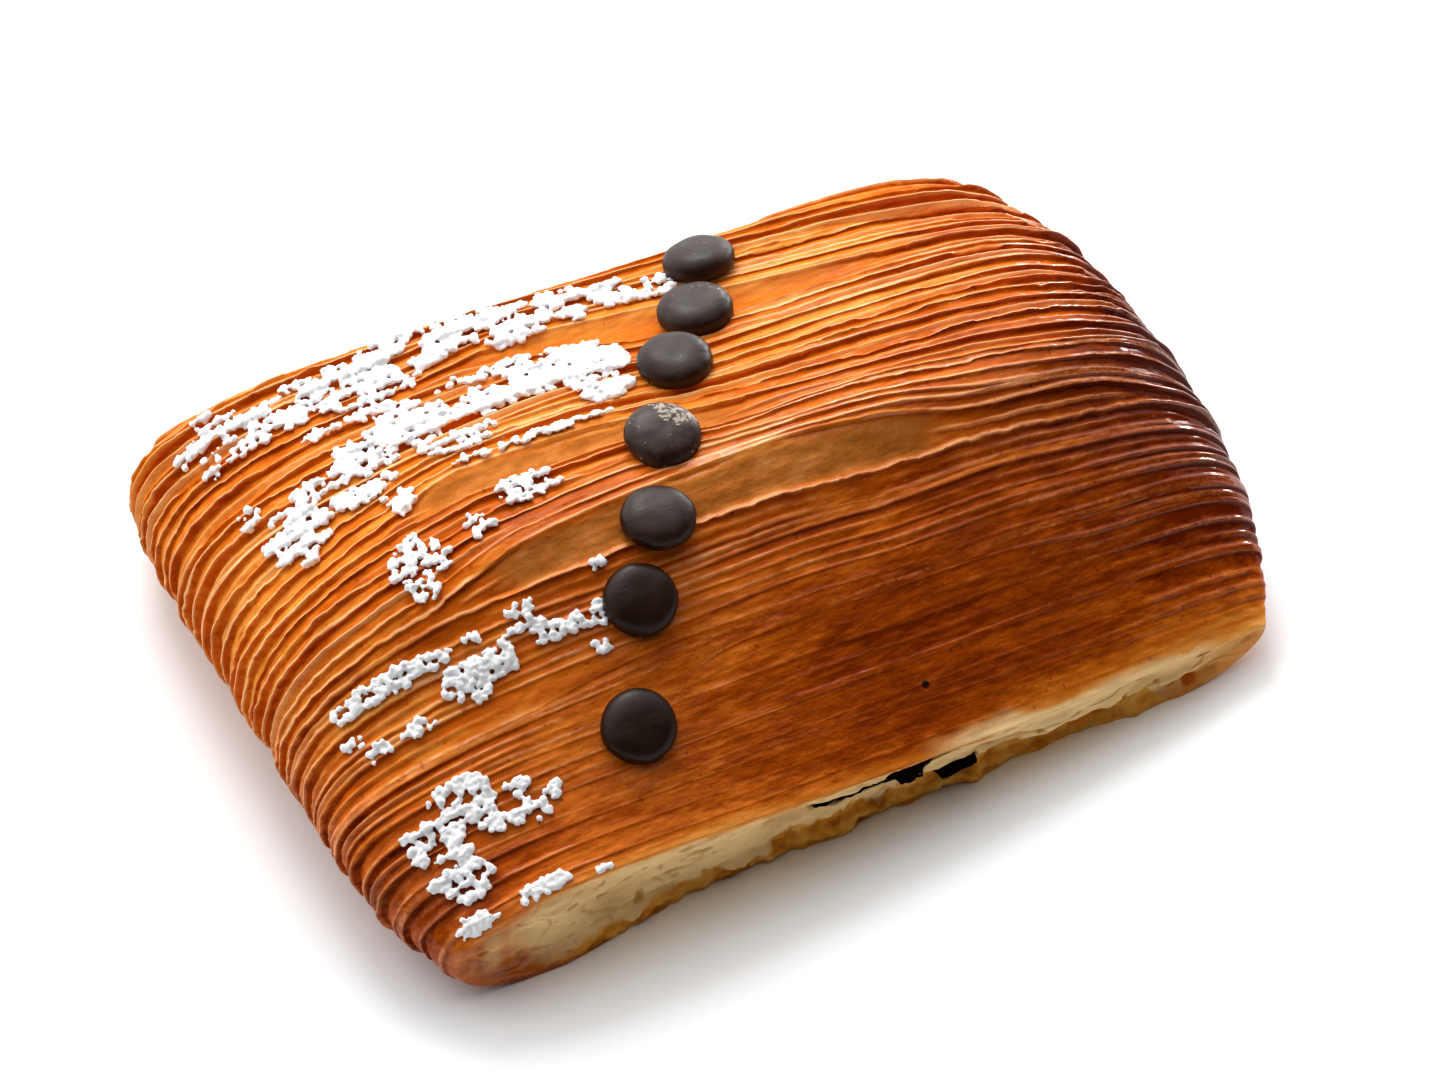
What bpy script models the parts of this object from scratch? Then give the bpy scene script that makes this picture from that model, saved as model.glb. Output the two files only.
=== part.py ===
"""A pain suisse: a folded, baked slab of layered dough with chocolate running through it, seven
chocolate buttons in a slanting row on top, and lumps of sugar on its left half. Metres, +Z up; the
long side runs along X, the near cut side faces -Y, and the origin is under the middle of its box."""

import math

import bmesh
import bpy
import numpy as np
from mathutils import Matrix, Quaternion, Vector, noise

MM = 0.001
NAME = "pain_suisse"
GAP = 0.3 * MM  # between pieces that touch
SEED = 11

# The outer form. A section runs along X, from the left end over the top to the right end, and the
# sections follow one another across the pastry: "across" is 0 at the near cut side and 1 at the far
# one, and "along" is 0 and 1 where the ends bulge furthest.
HALF_LENGTH = 69 * MM
MIDDLE_Y = 2.75 * MM  # of the box, before it is centred on the origin
NEAR_EDGE_Y = (-46.5 * MM, 2.0 * MM, 2.7 * MM)  # in the middle, its slope, and its bow to the ends
FAR_EDGE_Y = (44.8 * MM, -5.3 * MM, 3.5 * MM)
CROWN_ACROSS = (0, 0.12, 0.3, 0.42, 0.62, 0.82, 0.93, 1)
CROWN_HEIGHTS = tuple(height * MM for height in (12.4, 20.0, 31.4, 38.0, 35.6, 31.3, 29.5, 8.5))
CROWN_TILT, CROWN_BOW = 0.045, 0.025  # the right end stands a little higher, and so do both ends
NEAR_LIP_FALL, NEAR_LIP_REACH = 7.5 * MM, 0.3  # the near lip hangs lower to the right
SHOULDER_POWER, CROWN_POWER = 3.8, 2.2
WAIST_HEIGHT = 12.2 * MM  # where the ends bulge furthest
CORNER_CUTS = {  # the near corner's share and power, then the far one's
    "left": (0.107, 6, 0.105, 6),
    "right": (0.115, 4, 0.156, 4),
}
TUCK_REACH, NEAR_TUCK_REACH = 17 * MM, 9 * MM  # how far the ends tuck in under their bulge
TUCK = 0.12  # the tuck's share of "along"
SECTION_POINTS, STEPS_ALONG, STEPS_ACROSS = 400, 249, 121

# Folds: the raised edges of baked layers, as their place across at even steps along. Between a fold
# and the one before it lie so many ridges, and where that is one, the layers have opened into a gap.
FOLDS = (
    ("near lip", 0, (0,) * 11),
    ("front gap near", 13, (0.350, 0.350, 0.352, 0.352, 0.353, 0.350, 0.333, 0.325, 0.308, 0.300, 0.290)),
    ("front gap far", 1, (0.374, 0.368, 0.374, 0.412, 0.426, 0.423, 0.398, 0.357, 0.345, 0.320, 0.312)),
    ("middle gap near", 5, (0.485, 0.490, 0.510, 0.528, 0.527, 0.485, 0.475, 0.440, 0.410, 0.400, 0.390)),
    ("middle gap far", 1, (0.508, 0.512, 0.540, 0.592, 0.583, 0.535, 0.502, 0.475, 0.450, 0.430, 0.415)),
    ("middle fold", 5, (0.620, 0.630, 0.640, 0.655, 0.665, 0.645, 0.637, 0.625, 0.620, 0.605, 0.590)),
    ("rear gap near", 4, (0.725, 0.745, 0.765, 0.782, 0.787, 0.742, 0.722, 0.710, 0.700, 0.685, 0.670)),
    ("rear gap far", 1, (0.750, 0.770, 0.790, 0.812, 0.838, 0.815, 0.787, 0.757, 0.735, 0.715, 0.700)),
    ("far lip", 9, (1,) * 11),
)
RIDGE_DEPTH_SHARE = 0.42  # of the space between two crests
FLAP_DEPTH_SHARE = 0.24  # the near slope is scored more finely
RIDGE_LOW_POINT = 0.68  # a ridge is steep on its near side
GAP_FLOOR = ((0.1, 0.3), (0.5, 0.7), (0.88, 1))  # place in the gap, share of its depth
DEEPEST_GAP = 2.3 * MM
BRIDGE_MARGIN = 10  # columns at each cut that the underside's long strips leave out
WELD, POLE_WELD = 0.02 * MM, 0.01 * MM
CREST_WAVER = 0.35 * MM
WAVER_PITCH, WAVER_STRIDE = 60, 2.7  # along a crest, and from one column to the next
ROWS = 38

# The cut sides: open crumb, set back under the lip of the crust.
CRUMB_STEPS = (0.12, 0.4, 0.68, 0.92)  # places down the cut
CRUMB_SET_BACK, CRUMB_ROUGHNESS = 1.0 * MM, 0.9 * MM
CRUMB_PITCH = 300
UNDERCUT, LEAST_UNDERCUT = 3.2 * MM, 0.3  # the floor edge behind the lip at the left, its share at the right
TALL_CUT = 8 * MM  # below this the cut is smoother, and its foot comes forward

# The chocolate as it shows in the near cut: millimetres along X and Z, clockwise from its left tip.
# Further in it is a plain flat layer.
FILLING_OUTLINE = (
    (-9.5, 8.4), (-6, 8.9), (-2, 9.2), (2, 9.5), (6, 9.7), (10, 9.8), (12.4, 9.7), (12.2, 8.1),
    (8.6, 7.2), (9.6, 6.0), (15.8, 5.6), (16.2, 4.6), (12, 3.9), (6, 4.2), (3.2, 6.2), (-2, 7.9),
)  # fmt: skip
FILLING_MIDDLE = (3.4 * MM, 6.8 * MM)
FILLING_SIZE = (24 * MM, 4.2 * MM)
FILLING_FALL = -2.6 * MM  # it lies lower at the far cut
FILLING_SET_BACK = 1.6 * MM  # behind the near lip
FILLING_FAR_SET_BACK = 2.6 * MM
FILLING_PLAIN_FROM = 0.24  # of the way through
FILLING_SECTIONS = (0, 0.06, 0.12, 0.18, 0.24, 0.62, 1)
CUTTER_OVERRUN = 8 * MM
SHARPEST_MITRE = 0.35  # keeps the cutter's sharp corners short

# Buttons: along, across, diameter, how far they are pressed in, and how they lean in degrees,
# towards the near side and to the right.
BUTTONS = (
    (0.595, 0.864, 10.0 * MM, 0.9 * MM, -20, -1),
    (0.549, 0.750, 10.4 * MM, 0.9 * MM, -10, -1),
    (0.497, 0.645, 10.2 * MM, 0.9 * MM, -7, 1),
    (0.443, 0.499, 10.2 * MM, 0.9 * MM, 6, 3),
    (0.403, 0.374, 9.9 * MM, 1.7 * MM, 6, 1),
    (0.357, 0.294, 9.8 * MM, 0.9 * MM, 33, -4),
    (0.307, 0.155, 10.0 * MM, 0.9 * MM, 31, -3),
)
BUTTON_THICKNESS = 3.9 * MM
BUTTON_TOP, BUTTON_BOTTOM = 0.55, 0.45  # shares of the thickness
BUTTON_ROUNDING, BUTTON_FLATNESS = 0.6, 0.5  # powers: of the rim, and of the underside
BUTTON_SPANS, BUTTON_SIDES = 6, 20

# Sugar: patches as along, across, half sizes along and across, and how many lumps.
SUGAR_PATCHES = (
    (0.110, 0.110, 0.045, 0.050, 8),
    (0.120, 0.020, 0.050, 0.008, 3),
    (0.140, 0.325, 0.050, 0.010, 4),
    (0.240, 0.300, 0.050, 0.022, 5),
    (0.215, 0.445, 0.020, 0.035, 3),
    (0.320, 0.505, 0.020, 0.015, 2),
    (0.150, 0.610, 0.030, 0.040, 5),
    (0.240, 0.650, 0.050, 0.030, 5),
    (0.350, 0.730, 0.100, 0.040, 11),
    (0.250, 0.860, 0.090, 0.035, 7),
    (0.420, 0.870, 0.090, 0.025, 7),
)
SUGAR_SIZE = (3.4 * MM, 2.3 * MM, 1.7 * MM)
SUGAR_SPREAD, SUGAR_TURN = (0.75, 1.35), 0.6
SUGAR_APART, SUGAR_CLEAR = 2.6 * MM, 8 * MM  # from each other, and from a button's middle
SUGAR_TRIES = 60

CRUST_COLOUR = (0.42, 0.16, 0.035)
CHOCOLATE_COLOUR = (0.035, 0.024, 0.021)
FILLING_COLOUR = (0.012, 0.006, 0.004)


def curve(at, knots, values):
    """A smooth line through the values at the knots, which never overshoots them."""
    knots, values = np.asarray(knots, float), np.asarray(values, float)
    step = np.diff(knots)
    slope = np.diff(values) / step
    even = slope[1:] * slope[:-1] > 0
    inner = np.where(even, 2 * slope[1:] * slope[:-1] / np.where(even, slope[1:] + slope[:-1], 1), 0)
    lean = np.concatenate([slope[:1], inner, slope[-1:]])
    i = np.clip(np.searchsorted(knots, at) - 1, 0, len(step) - 1)
    s = (at - knots[i]) / step[i]
    start = (1 + 2 * s) * values[i] + s * step[i] * lean[i]
    end = (3 - 2 * s) * values[i + 1] - (1 - s) * step[i] * lean[i + 1]
    return (1 - s) ** 2 * start + s * s * end


def edge_y(edge, x):
    share = x / HALF_LENGTH
    return edge[0] + edge[1] * share + edge[2] * share**2 - MIDDLE_Y


def end_reach(side, across):
    """How far an end stands out from the middle, less where the corners round off."""
    near, near_power, far, far_power = CORNER_CUTS[side]
    cut = near * max(1 - 2 * across, 0) ** near_power + far * max(2 * across - 1, 0) ** far_power
    return HALF_LENGTH * (1 - cut)


def section(across):
    """The points of one section, from the floor at the left over the top to the floor at the right."""
    height = float(curve(across, CROWN_ACROSS, CROWN_HEIGHTS))
    waist = min(WAIST_HEIGHT, height / 2)
    angle = np.linspace(math.pi, 0, SECTION_POINTS)
    cosine, sine = np.cos(angle), np.abs(np.sin(angle))
    reach = np.where(cosine > 0, end_reach("right", across), end_reach("left", across))
    x = reach * np.sign(cosine) * np.abs(cosine) ** (2 / SHOULDER_POWER)
    share = x / HALF_LENGTH
    crown = height * (1 + CROWN_TILT * share + CROWN_BOW * share**2)
    crown = crown - NEAR_LIP_FALL * share * max(0, 1 - across / NEAR_LIP_REACH) ** 2
    z = waist + (crown - waist) * sine ** (2 / CROWN_POWER)
    length = np.concatenate([[0], np.cumsum(np.hypot(np.diff(x), np.diff(z)))])

    along = np.linspace(-TUCK, 1 + TUCK, STEPS_ALONG)
    on_top = np.clip(along, 0, 1) * length[-1]
    turn = np.clip(np.maximum(-along, along - 1) / TUCK, 0, 1) * math.pi / 2
    tuck = NEAR_TUCK_REACH + (TUCK_REACH - NEAR_TUCK_REACH) * waist / WAIST_HEIGHT
    x = np.interp(on_top, length, x) - np.sign(along - 0.5) * tuck * (1 - np.cos(turn))
    z = np.interp(on_top, length, z) - waist * np.sin(turn)
    near, far = edge_y(NEAR_EDGE_Y, x), edge_y(FAR_EDGE_Y, x)
    return np.stack([x, near + (far - near) * across, z], axis=-1)


def form_tables():
    """The smooth outer form and its normals, at even steps across and along."""
    points = np.array([section(across) for across in np.linspace(0, 1, STEPS_ACROSS)])
    normals = np.cross(np.gradient(points, axis=1), np.gradient(points, axis=0))
    return points, normals / np.linalg.norm(normals, axis=-1, keepdims=True)


def look_up(table, along, across):
    """The table's value between its steps."""
    i = np.clip(across, 0, 1) * (STEPS_ACROSS - 1)
    j = np.clip((along + TUCK) / (1 + 2 * TUCK), 0, 1) * (STEPS_ALONG - 1)
    i0 = np.minimum(i.astype(int), STEPS_ACROSS - 2)
    j0 = np.minimum(j.astype(int), STEPS_ALONG - 2)
    di, dj = (i - i0)[..., None], (j - j0)[..., None]
    near = table[i0, j0] * (1 - dj) + table[i0, j0 + 1] * dj
    far = table[i0 + 1, j0] * (1 - dj) + table[i0 + 1, j0 + 1] * dj
    return near * (1 - di) + far * di


def on_form(tables, along, across):
    """One point of the smooth form, and its normal."""
    place, normal = (look_up(table, np.array([along]), np.array([across]))[0] for table in tables)
    return Vector(place), Vector(normal).normalized()


def crest(number, along):
    """Where a crest lies across, counted from the near lip."""
    steps = np.linspace(0, 1, len(FOLDS[0][2]))
    inside = np.clip(along, 0, 1)
    counts = np.cumsum([ridges for _, ridges, _ in FOLDS])
    k = max(1, int(np.searchsorted(counts, number)))
    before, after = curve(inside, steps, FOLDS[k - 1][2]), curve(inside, steps, FOLDS[k][2])
    return before + (after - before) * (number - counts[k - 1]) / FOLDS[k][1]


def nearest_crest(along, across):
    """The place across of the crest that lies closest."""
    total = sum(ridges for _, ridges, _ in FOLDS)
    crests = np.array([float(crest(number, np.array(along))) for number in range(total)])
    return float(crests[np.argmin(np.abs(crests - across))])


def relief_columns():
    """(crest number, depth share) for each column of the skin: crests, channels and gap floors."""
    columns = [(0, 0)]
    number = 0
    for name, ridges, _ in FOLDS[1:]:
        depth = FLAP_DEPTH_SHARE if name == "front gap near" else RIDGE_DEPTH_SHARE
        low_points = GAP_FLOOR if ridges == 1 else ((RIDGE_LOW_POINT, 1),)
        for _ in range(ridges):
            columns += [(number + place, depth * share) for place, share in low_points]
            number += 1
            columns.append((number, 0))
    return columns


def skin_points(tables):
    """The ridged skin: for each column, its points from floor to floor."""
    points, normals = tables
    along = np.linspace(-TUCK, 1 + TUCK, ROWS + 1)
    width = FAR_EDGE_Y[0] - NEAR_EDGE_Y[0]
    total = sum(ridges for _, ridges, _ in FOLDS)
    result = []
    for number, depth_share in relief_columns():
        across = crest(number, along)
        first = min(math.floor(number), total - 1)
        space = width * (crest(first + 1, along) - crest(first, along))
        depth = np.minimum(depth_share * space, DEEPEST_GAP)
        waver = np.array([noise.noise((WAVER_PITCH * place, number * WAVER_STRIDE, 0)) for place in along])
        place = look_up(points, along, across)
        fade = np.sqrt(np.clip(place[:, 2] / WAIST_HEIGHT, 0, 1))
        moved = place + look_up(normals, along, across) * ((CREST_WAVER * waver - depth) * fade)[:, None]
        moved[:, 2] = np.maximum(moved[:, 2], 0)
        result.append(moved)
    return result


def cut_points(lip, edge, inward):
    """Columns down a cut side, from under its lip to the floor, with the crumb set back and uneven."""
    tall = np.clip(lip[:, 2] / TALL_CUT, 0, 1)
    floor = lip.copy()
    share = 0.5 - 0.5 * np.cos(np.linspace(0, math.pi, len(lip)))
    floor[:, 0] = lip[0, 0] + (lip[-1, 0] - lip[0, 0]) * share
    undercut = UNDERCUT * tall**2 * np.clip(1 - floor[:, 0] / HALF_LENGTH, LEAST_UNDERCUT, 1)
    floor[:, 1] = edge_y(edge, floor[:, 0]) + inward * undercut
    floor[:, 2] = 0
    result = []
    for step in CRUMB_STEPS:
        column = lip + (floor - lip) * step
        rough = [noise.noise(Vector(point) * CRUMB_PITCH) for point in column]
        column[:, 1] += inward * tall**2 * (CRUMB_SET_BACK + CRUMB_ROUGHNESS * np.array(rough))
        result.append(column)
    return result + [floor]


def new_collection(name):
    collection = bpy.data.collections.new(name)
    bpy.context.scene.collection.children.link(collection)
    return collection


def linked(name, mesh, collection):
    obj = bpy.data.objects.new(name, mesh)
    collection.objects.link(obj)
    return obj


def material(name, colour, roughness):
    made = bpy.data.materials.new(name)
    made.use_nodes = True
    shader = made.node_tree.nodes["Principled BSDF"]
    shader.inputs["Base Color"].default_value = (*colour, 1)
    shader.inputs["Roughness"].default_value = roughness
    shader.inputs["Metallic"].default_value = 0
    return made


def mesh_from(bm, name):
    bmesh.ops.recalc_face_normals(bm, faces=bm.faces)
    mesh = bpy.data.meshes.new(name)
    bm.to_mesh(mesh)
    bm.free()
    return mesh


def pastry_mesh(tables):
    """A grid wrapped over the form from floor to floor, with both cut sides and a flat underside."""
    skin = skin_points(tables)
    near = cut_points(skin[0], NEAR_EDGE_Y, 1)
    far = cut_points(skin[-1], FAR_EDGE_Y, -1)
    columns = np.array(near[::-1] + skin + far)
    last = len(columns) - 1
    bm = bmesh.new()
    bmesh.ops.create_grid(bm, x_segments=last, y_segments=ROWS, size=0.5)
    grid = {}
    for vert in bm.verts:
        i, j = round((vert.co.x + 0.5) * last), round((vert.co.y + 0.5) * ROWS)
        vert.co = columns[i, j]
        grid[i, j] = vert
    middle = range(len(near) + BRIDGE_MARGIN, last - len(far) - BRIDGE_MARGIN)
    feet = [bm.edges.get((grid[i, j], grid[i + 1, j])) for j in (0, ROWS) for i in middle]
    bmesh.ops.bridge_loops(bm, edges=feet)
    bmesh.ops.remove_doubles(bm, verts=bm.verts, dist=WELD)
    bmesh.ops.holes_fill(bm, edges=[edge for edge in bm.edges if edge.is_boundary], sides=0)
    return mesh_from(bm, "pastry")


def loft(sections, name):
    """A solid through closed sections of equally many points."""
    bm = bmesh.new()
    bmesh.ops.create_circle(bm, cap_ends=True, segments=len(sections[0]), radius=1)
    ring = list(bm.verts)
    face = bm.faces[:][0]
    for vert, point in zip(ring, sections[0]):
        vert.co = point
    for number, outline in enumerate(sections[1:]):
        order = {tuple(vert.co): k for k, vert in enumerate(ring)}
        grown = bmesh.ops.extrude_face_region(bm, geom=[face])["geom"]
        if number:
            bm.faces.remove(face)
        face = next(item for item in grown if isinstance(item, bmesh.types.BMFace))
        ring = sorted(face.verts, key=lambda vert: order[tuple(vert.co)])
        for vert, point in zip(ring, outline):
            vert.co = point
    sides = [side for side in bm.faces if len(side.verts) == 4]
    bmesh.ops.triangulate(bm, faces=sides, quad_method="FIXED")
    return mesh_from(bm, name)


def widened(outline, by):
    """A clockwise outline moved outwards by so much."""
    run = np.roll(outline, -1, axis=0) - outline
    outward = np.stack([-run[:, 1], run[:, 0]], axis=-1) / np.linalg.norm(run, axis=-1, keepdims=True)
    before = np.roll(outward, 1, axis=0)
    meeting = np.maximum(1 + np.sum(outward * before, axis=-1, keepdims=True), SHARPEST_MITRE)
    return outline + (outward + before) / meeting * by


def filling_sections(gap=0.0, beyond=0.0):
    """The chocolate's outline in the near cut, blended into the plain flat layer further in."""
    shown = np.array(FILLING_OUTLINE) * MM
    middle, size = np.array(FILLING_MIDDLE), np.array(FILLING_SIZE)
    length = np.cumsum(np.linalg.norm(shown - np.roll(shown, 1, axis=0), axis=-1))
    angle = math.pi - 2 * math.pi * (length - length[0]) / length[-1]
    plain = middle + np.stack([np.cos(angle), np.sin(angle)], axis=-1) * size / 2
    near_y = edge_y(NEAR_EDGE_Y, middle[0]) + FILLING_SET_BACK
    far_y = edge_y(FAR_EDGE_Y, middle[0]) - FILLING_FAR_SET_BACK
    sections = []
    for share in FILLING_SECTIONS:
        blend = min(1, share / FILLING_PLAIN_FROM)
        outline = shown * (1 - blend) + (plain + (0, FILLING_FALL * share)) * blend
        outline = widened(outline, gap * (1 + blend))
        y = near_y + (far_y - near_y) * share
        sections.append([Vector((x, y, z)) for x, z in outline])
    if beyond:
        sections.insert(0, [point - Vector((0, beyond, 0)) for point in sections[0]])
        sections.append([point + Vector((0, beyond, 0)) for point in sections[-1]])
    return sections


def button_profile(radius, thickness, name):
    """Half of a lens's outline, top to bottom, with a flatter underside."""
    bm = bmesh.new()
    points = []
    for k in range(BUTTON_SPANS + 1):
        rise = math.cos(math.pi * k / BUTTON_SPANS)
        x = radius * math.sin(math.pi * k / BUTTON_SPANS) ** BUTTON_ROUNDING if 0 < k < BUTTON_SPANS else 0
        z = thickness * (BUTTON_TOP * rise if rise > 0 else -BUTTON_BOTTOM * (-rise) ** BUTTON_FLATNESS)
        points.append(bm.verts.new((x, 0, z)))
    for first, second in zip(points, points[1:]):
        bm.edges.new((first, second))
    mesh = bpy.data.meshes.new(name)
    bm.to_mesh(mesh)
    bm.free()
    return mesh


def add_button(name, tables, button, grow, collection):
    """A turned lens, pressed into the skin and leaning as its entry says."""
    along, across, diameter, pressed, lean_near, lean_right = button
    mesh = button_profile(diameter / 2 + grow, BUTTON_THICKNESS + 2 * grow, name)
    obj = linked(name, mesh, collection)
    turn = obj.modifiers.new("Turn", "SCREW")
    turn.steps = turn.render_steps = BUTTON_SIDES
    turn.use_merge_vertices = True
    turn.merge_threshold = POLE_WELD
    axis = Vector((math.tan(math.radians(lean_right)), -math.tan(math.radians(lean_near)), 1)).normalized()
    foot, _ = on_form(tables, along, across)
    obj.rotation_mode = "QUATERNION"
    obj.rotation_quaternion = Vector((0, 0, 1)).rotation_difference(axis)
    obj.location = foot + axis * (BUTTON_THICKNESS / 2 - pressed)
    return obj


def sugar_places(tables, draw):
    """Where the lumps lie: drawn in each patch, apart from each other and clear of the buttons."""
    buttons = [on_form(tables, button[0], button[1])[0] for button in BUTTONS]
    places = []
    for along, across, half_along, half_across, count in SUGAR_PATCHES:
        in_patch = 0
        for _ in range(SUGAR_TRIES):
            angle, reach = draw.uniform(0, 2 * math.pi), math.sqrt(draw.uniform(0, 1))
            at = along + half_along * reach * math.cos(angle)
            crest_at = nearest_crest(at, across + half_across * reach * math.sin(angle))
            place, normal = on_form(tables, at, crest_at)
            apart = all((place - other).length > SUGAR_APART for other, _ in places)
            clear = all((place - other).length > SUGAR_CLEAR for other in buttons)
            if in_patch < count and apart and clear:
                places.append((place, normal))
                in_patch += 1
    return places


def add_sugar(tables, collection):
    draw = np.random.default_rng(SEED)
    for number, (place, normal) in enumerate(sugar_places(tables, draw)):
        bm = bmesh.new()
        bmesh.ops.create_icosphere(bm, subdivisions=1, radius=0.5)
        lump = linked(f"sugar_{number}", mesh_from(bm, "sugar"), collection)
        size = Matrix.Diagonal([side * draw.uniform(*SUGAR_SPREAD) for side in SUGAR_SIZE]).to_4x4()
        spin = Quaternion((0, 0, 1), draw.uniform(-SUGAR_TURN, SUGAR_TURN)).to_matrix().to_4x4()
        upright = Vector((0, 0, 1)).rotation_difference(normal).to_matrix().to_4x4()
        lump.data.transform(Matrix.Translation(place) @ upright @ spin @ size)


def boolean(obj, collection, operation):
    """Joins the collection's objects to this one, or cuts them out of it, and welds what is too fine."""
    change = obj.modifiers.new(operation.title(), "BOOLEAN")
    change.operation = operation
    change.operand_type = "COLLECTION"
    change.collection = collection
    change.solver = "EXACT"
    graph = bpy.context.evaluated_depsgraph_get()
    obj.data = bpy.data.meshes.new_from_object(obj.evaluated_get(graph))
    obj.modifiers.clear()
    bm = bmesh.new()
    bm.from_mesh(obj.data)
    bmesh.ops.remove_doubles(bm, verts=bm.verts, dist=WELD)
    bmesh.ops.dissolve_degenerate(bm, edges=bm.edges, dist=WELD / 2)
    bm.to_mesh(obj.data)
    bm.free()


def main():
    for obj in list(bpy.data.objects):
        bpy.data.objects.remove(obj)
    parts, cutters = new_collection(NAME), new_collection("cutters")
    tables = form_tables()

    pastry = linked("pastry", pastry_mesh(tables), parts)
    sugar = new_collection("sugar")
    add_sugar(tables, sugar)
    boolean(pastry, sugar, "UNION")
    for lump in list(sugar.objects):
        bpy.data.objects.remove(lump)
    bpy.data.collections.remove(sugar)

    filling = linked("chocolate_filling", loft(filling_sections(), "filling"), parts)
    filling.data.materials.append(material("melted chocolate", FILLING_COLOUR, 0.3))
    linked("filling_tunnel", loft(filling_sections(GAP, CUTTER_OVERRUN), "tunnel"), cutters)

    button_chocolate = material("button chocolate", CHOCOLATE_COLOUR, 0.4)
    for number, button in enumerate(BUTTONS, 1):
        placed = add_button(f"chocolate_button_{number}", tables, button, 0, parts)
        placed.data.materials.append(button_chocolate)
        add_button(f"button_seat_{number}", tables, button, GAP, cutters)

    boolean(pastry, cutters, "DIFFERENCE")
    pastry.data.materials.clear()
    pastry.data.materials.append(material("baked crust", CRUST_COLOUR, 0.35))
    for cutter in cutters.objects:
        cutter.hide_render = True
        cutter.display_type = "WIRE"


main()
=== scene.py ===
import math
import bpy
import bmesh
import numpy as np
from mathutils import Matrix, Vector


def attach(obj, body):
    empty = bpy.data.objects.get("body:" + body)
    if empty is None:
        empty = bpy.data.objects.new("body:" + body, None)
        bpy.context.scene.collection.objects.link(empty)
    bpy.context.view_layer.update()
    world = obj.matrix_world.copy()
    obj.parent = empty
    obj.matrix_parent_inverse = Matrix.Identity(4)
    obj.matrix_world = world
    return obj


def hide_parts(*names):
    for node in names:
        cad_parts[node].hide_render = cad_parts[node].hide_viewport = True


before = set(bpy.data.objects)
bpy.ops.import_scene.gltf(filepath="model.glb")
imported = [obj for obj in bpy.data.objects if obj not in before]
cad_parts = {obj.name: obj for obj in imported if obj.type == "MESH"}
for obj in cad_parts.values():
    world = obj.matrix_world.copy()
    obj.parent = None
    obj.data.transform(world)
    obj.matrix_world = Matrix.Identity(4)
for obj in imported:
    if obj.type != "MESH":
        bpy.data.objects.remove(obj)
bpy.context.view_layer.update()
mm = 0.001
print("frame loaded")

# The outer form, as the solids have it: sections along X over the top, from the near cut side to the far one
form = {
    "halfLength": 69 * mm,
    "middleY": 2.75 * mm,
    "nearEdge": (-46.5 * mm, 2.0 * mm, 2.7 * mm),  # y in the middle, its slope, its bow
    "farEdge": (44.8 * mm, -5.3 * mm, 3.5 * mm),
    "crownAcross": (0, 0.12, 0.3, 0.42, 0.62, 0.82, 0.93, 1),
    "crownHeights": (12.4, 20.0, 31.4, 38.0, 35.6, 31.3, 29.5, 8.5),  # millimetres
    "crownTilt": 0.045,
    "crownBow": 0.025,
    "lipFall": 7.5 * mm,
    "lipReach": 0.3,
    "shoulderPower": 3.8,
    "crownPower": 2.2,
    "waist": 12.2 * mm,
    "leftCorners": (0.107, 6, 0.105, 6),  # near share and power, far share and power
    "rightCorners": (0.115, 4, 0.156, 4),
    "tuckReach": 17 * mm,
    "nearTuckReach": 9 * mm,
    "tuck": 0.12,
    "sectionPoints": 400,
    "stepsAlong": 249,
    "stepsAcross": 121,
}

# Raised layer edges: how many ridges lie before each (1 is an open gap), and places across at even steps
folds = {
    "nearLip": (0, (0,) * 11),
    "frontGapNear": (15, (0.350, 0.350, 0.352, 0.352, 0.353, 0.350, 0.333, 0.325, 0.308, 0.300, 0.290)),
    "frontGapFar": (1, (0.374, 0.368, 0.374, 0.412, 0.426, 0.423, 0.398, 0.357, 0.345, 0.320, 0.312)),
    "middleGapNear": (5, (0.485, 0.490, 0.510, 0.528, 0.527, 0.485, 0.475, 0.440, 0.410, 0.400, 0.390)),
    "middleGapFar": (1, (0.508, 0.512, 0.540, 0.592, 0.583, 0.535, 0.502, 0.475, 0.450, 0.430, 0.415)),
    "middleFold": (5, (0.620, 0.630, 0.640, 0.655, 0.665, 0.645, 0.637, 0.625, 0.620, 0.605, 0.590)),
    "rearGapNear": (4, (0.725, 0.745, 0.765, 0.782, 0.787, 0.742, 0.722, 0.710, 0.700, 0.685, 0.670)),
    "rearGapFar": (1, (0.750, 0.770, 0.790, 0.812, 0.838, 0.815, 0.787, 0.757, 0.735, 0.715, 0.700)),
    "farLip": (9, (1,) * 11),
}
foldCounts = np.cumsum([count for count, _ in folds.values()])


def smoothLine(at, knots, values):
    # through the values at the knots, never overshooting them
    knots, values = np.asarray(knots, float), np.asarray(values, float)
    step = np.diff(knots)
    slope = np.diff(values) / step
    even = slope[1:] * slope[:-1] > 0
    inner = np.where(even, 2 * slope[1:] * slope[:-1] / np.where(even, slope[1:] + slope[:-1], 1), 0)
    lean = np.concatenate([slope[:1], inner, slope[-1:]])
    i = np.clip(np.searchsorted(knots, at) - 1, 0, len(step) - 1)
    s = (at - knots[i]) / step[i]
    start = (1 + 2 * s) * values[i] + s * step[i] * lean[i]
    end = (3 - 2 * s) * values[i + 1] - (1 - s) * step[i] * lean[i + 1]
    return (1 - s) ** 2 * start + s * s * end


def edgeY(edge, x):
    share = x / form["halfLength"]
    return edge[0] + edge[1] * share + edge[2] * share**2 - form["middleY"]


def endReach(corners, across):
    near, nearPower, far, farPower = corners
    cut = near * max(1 - 2 * across, 0) ** nearPower + far * max(2 * across - 1, 0) ** farPower
    return form["halfLength"] * (1 - cut)


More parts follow.
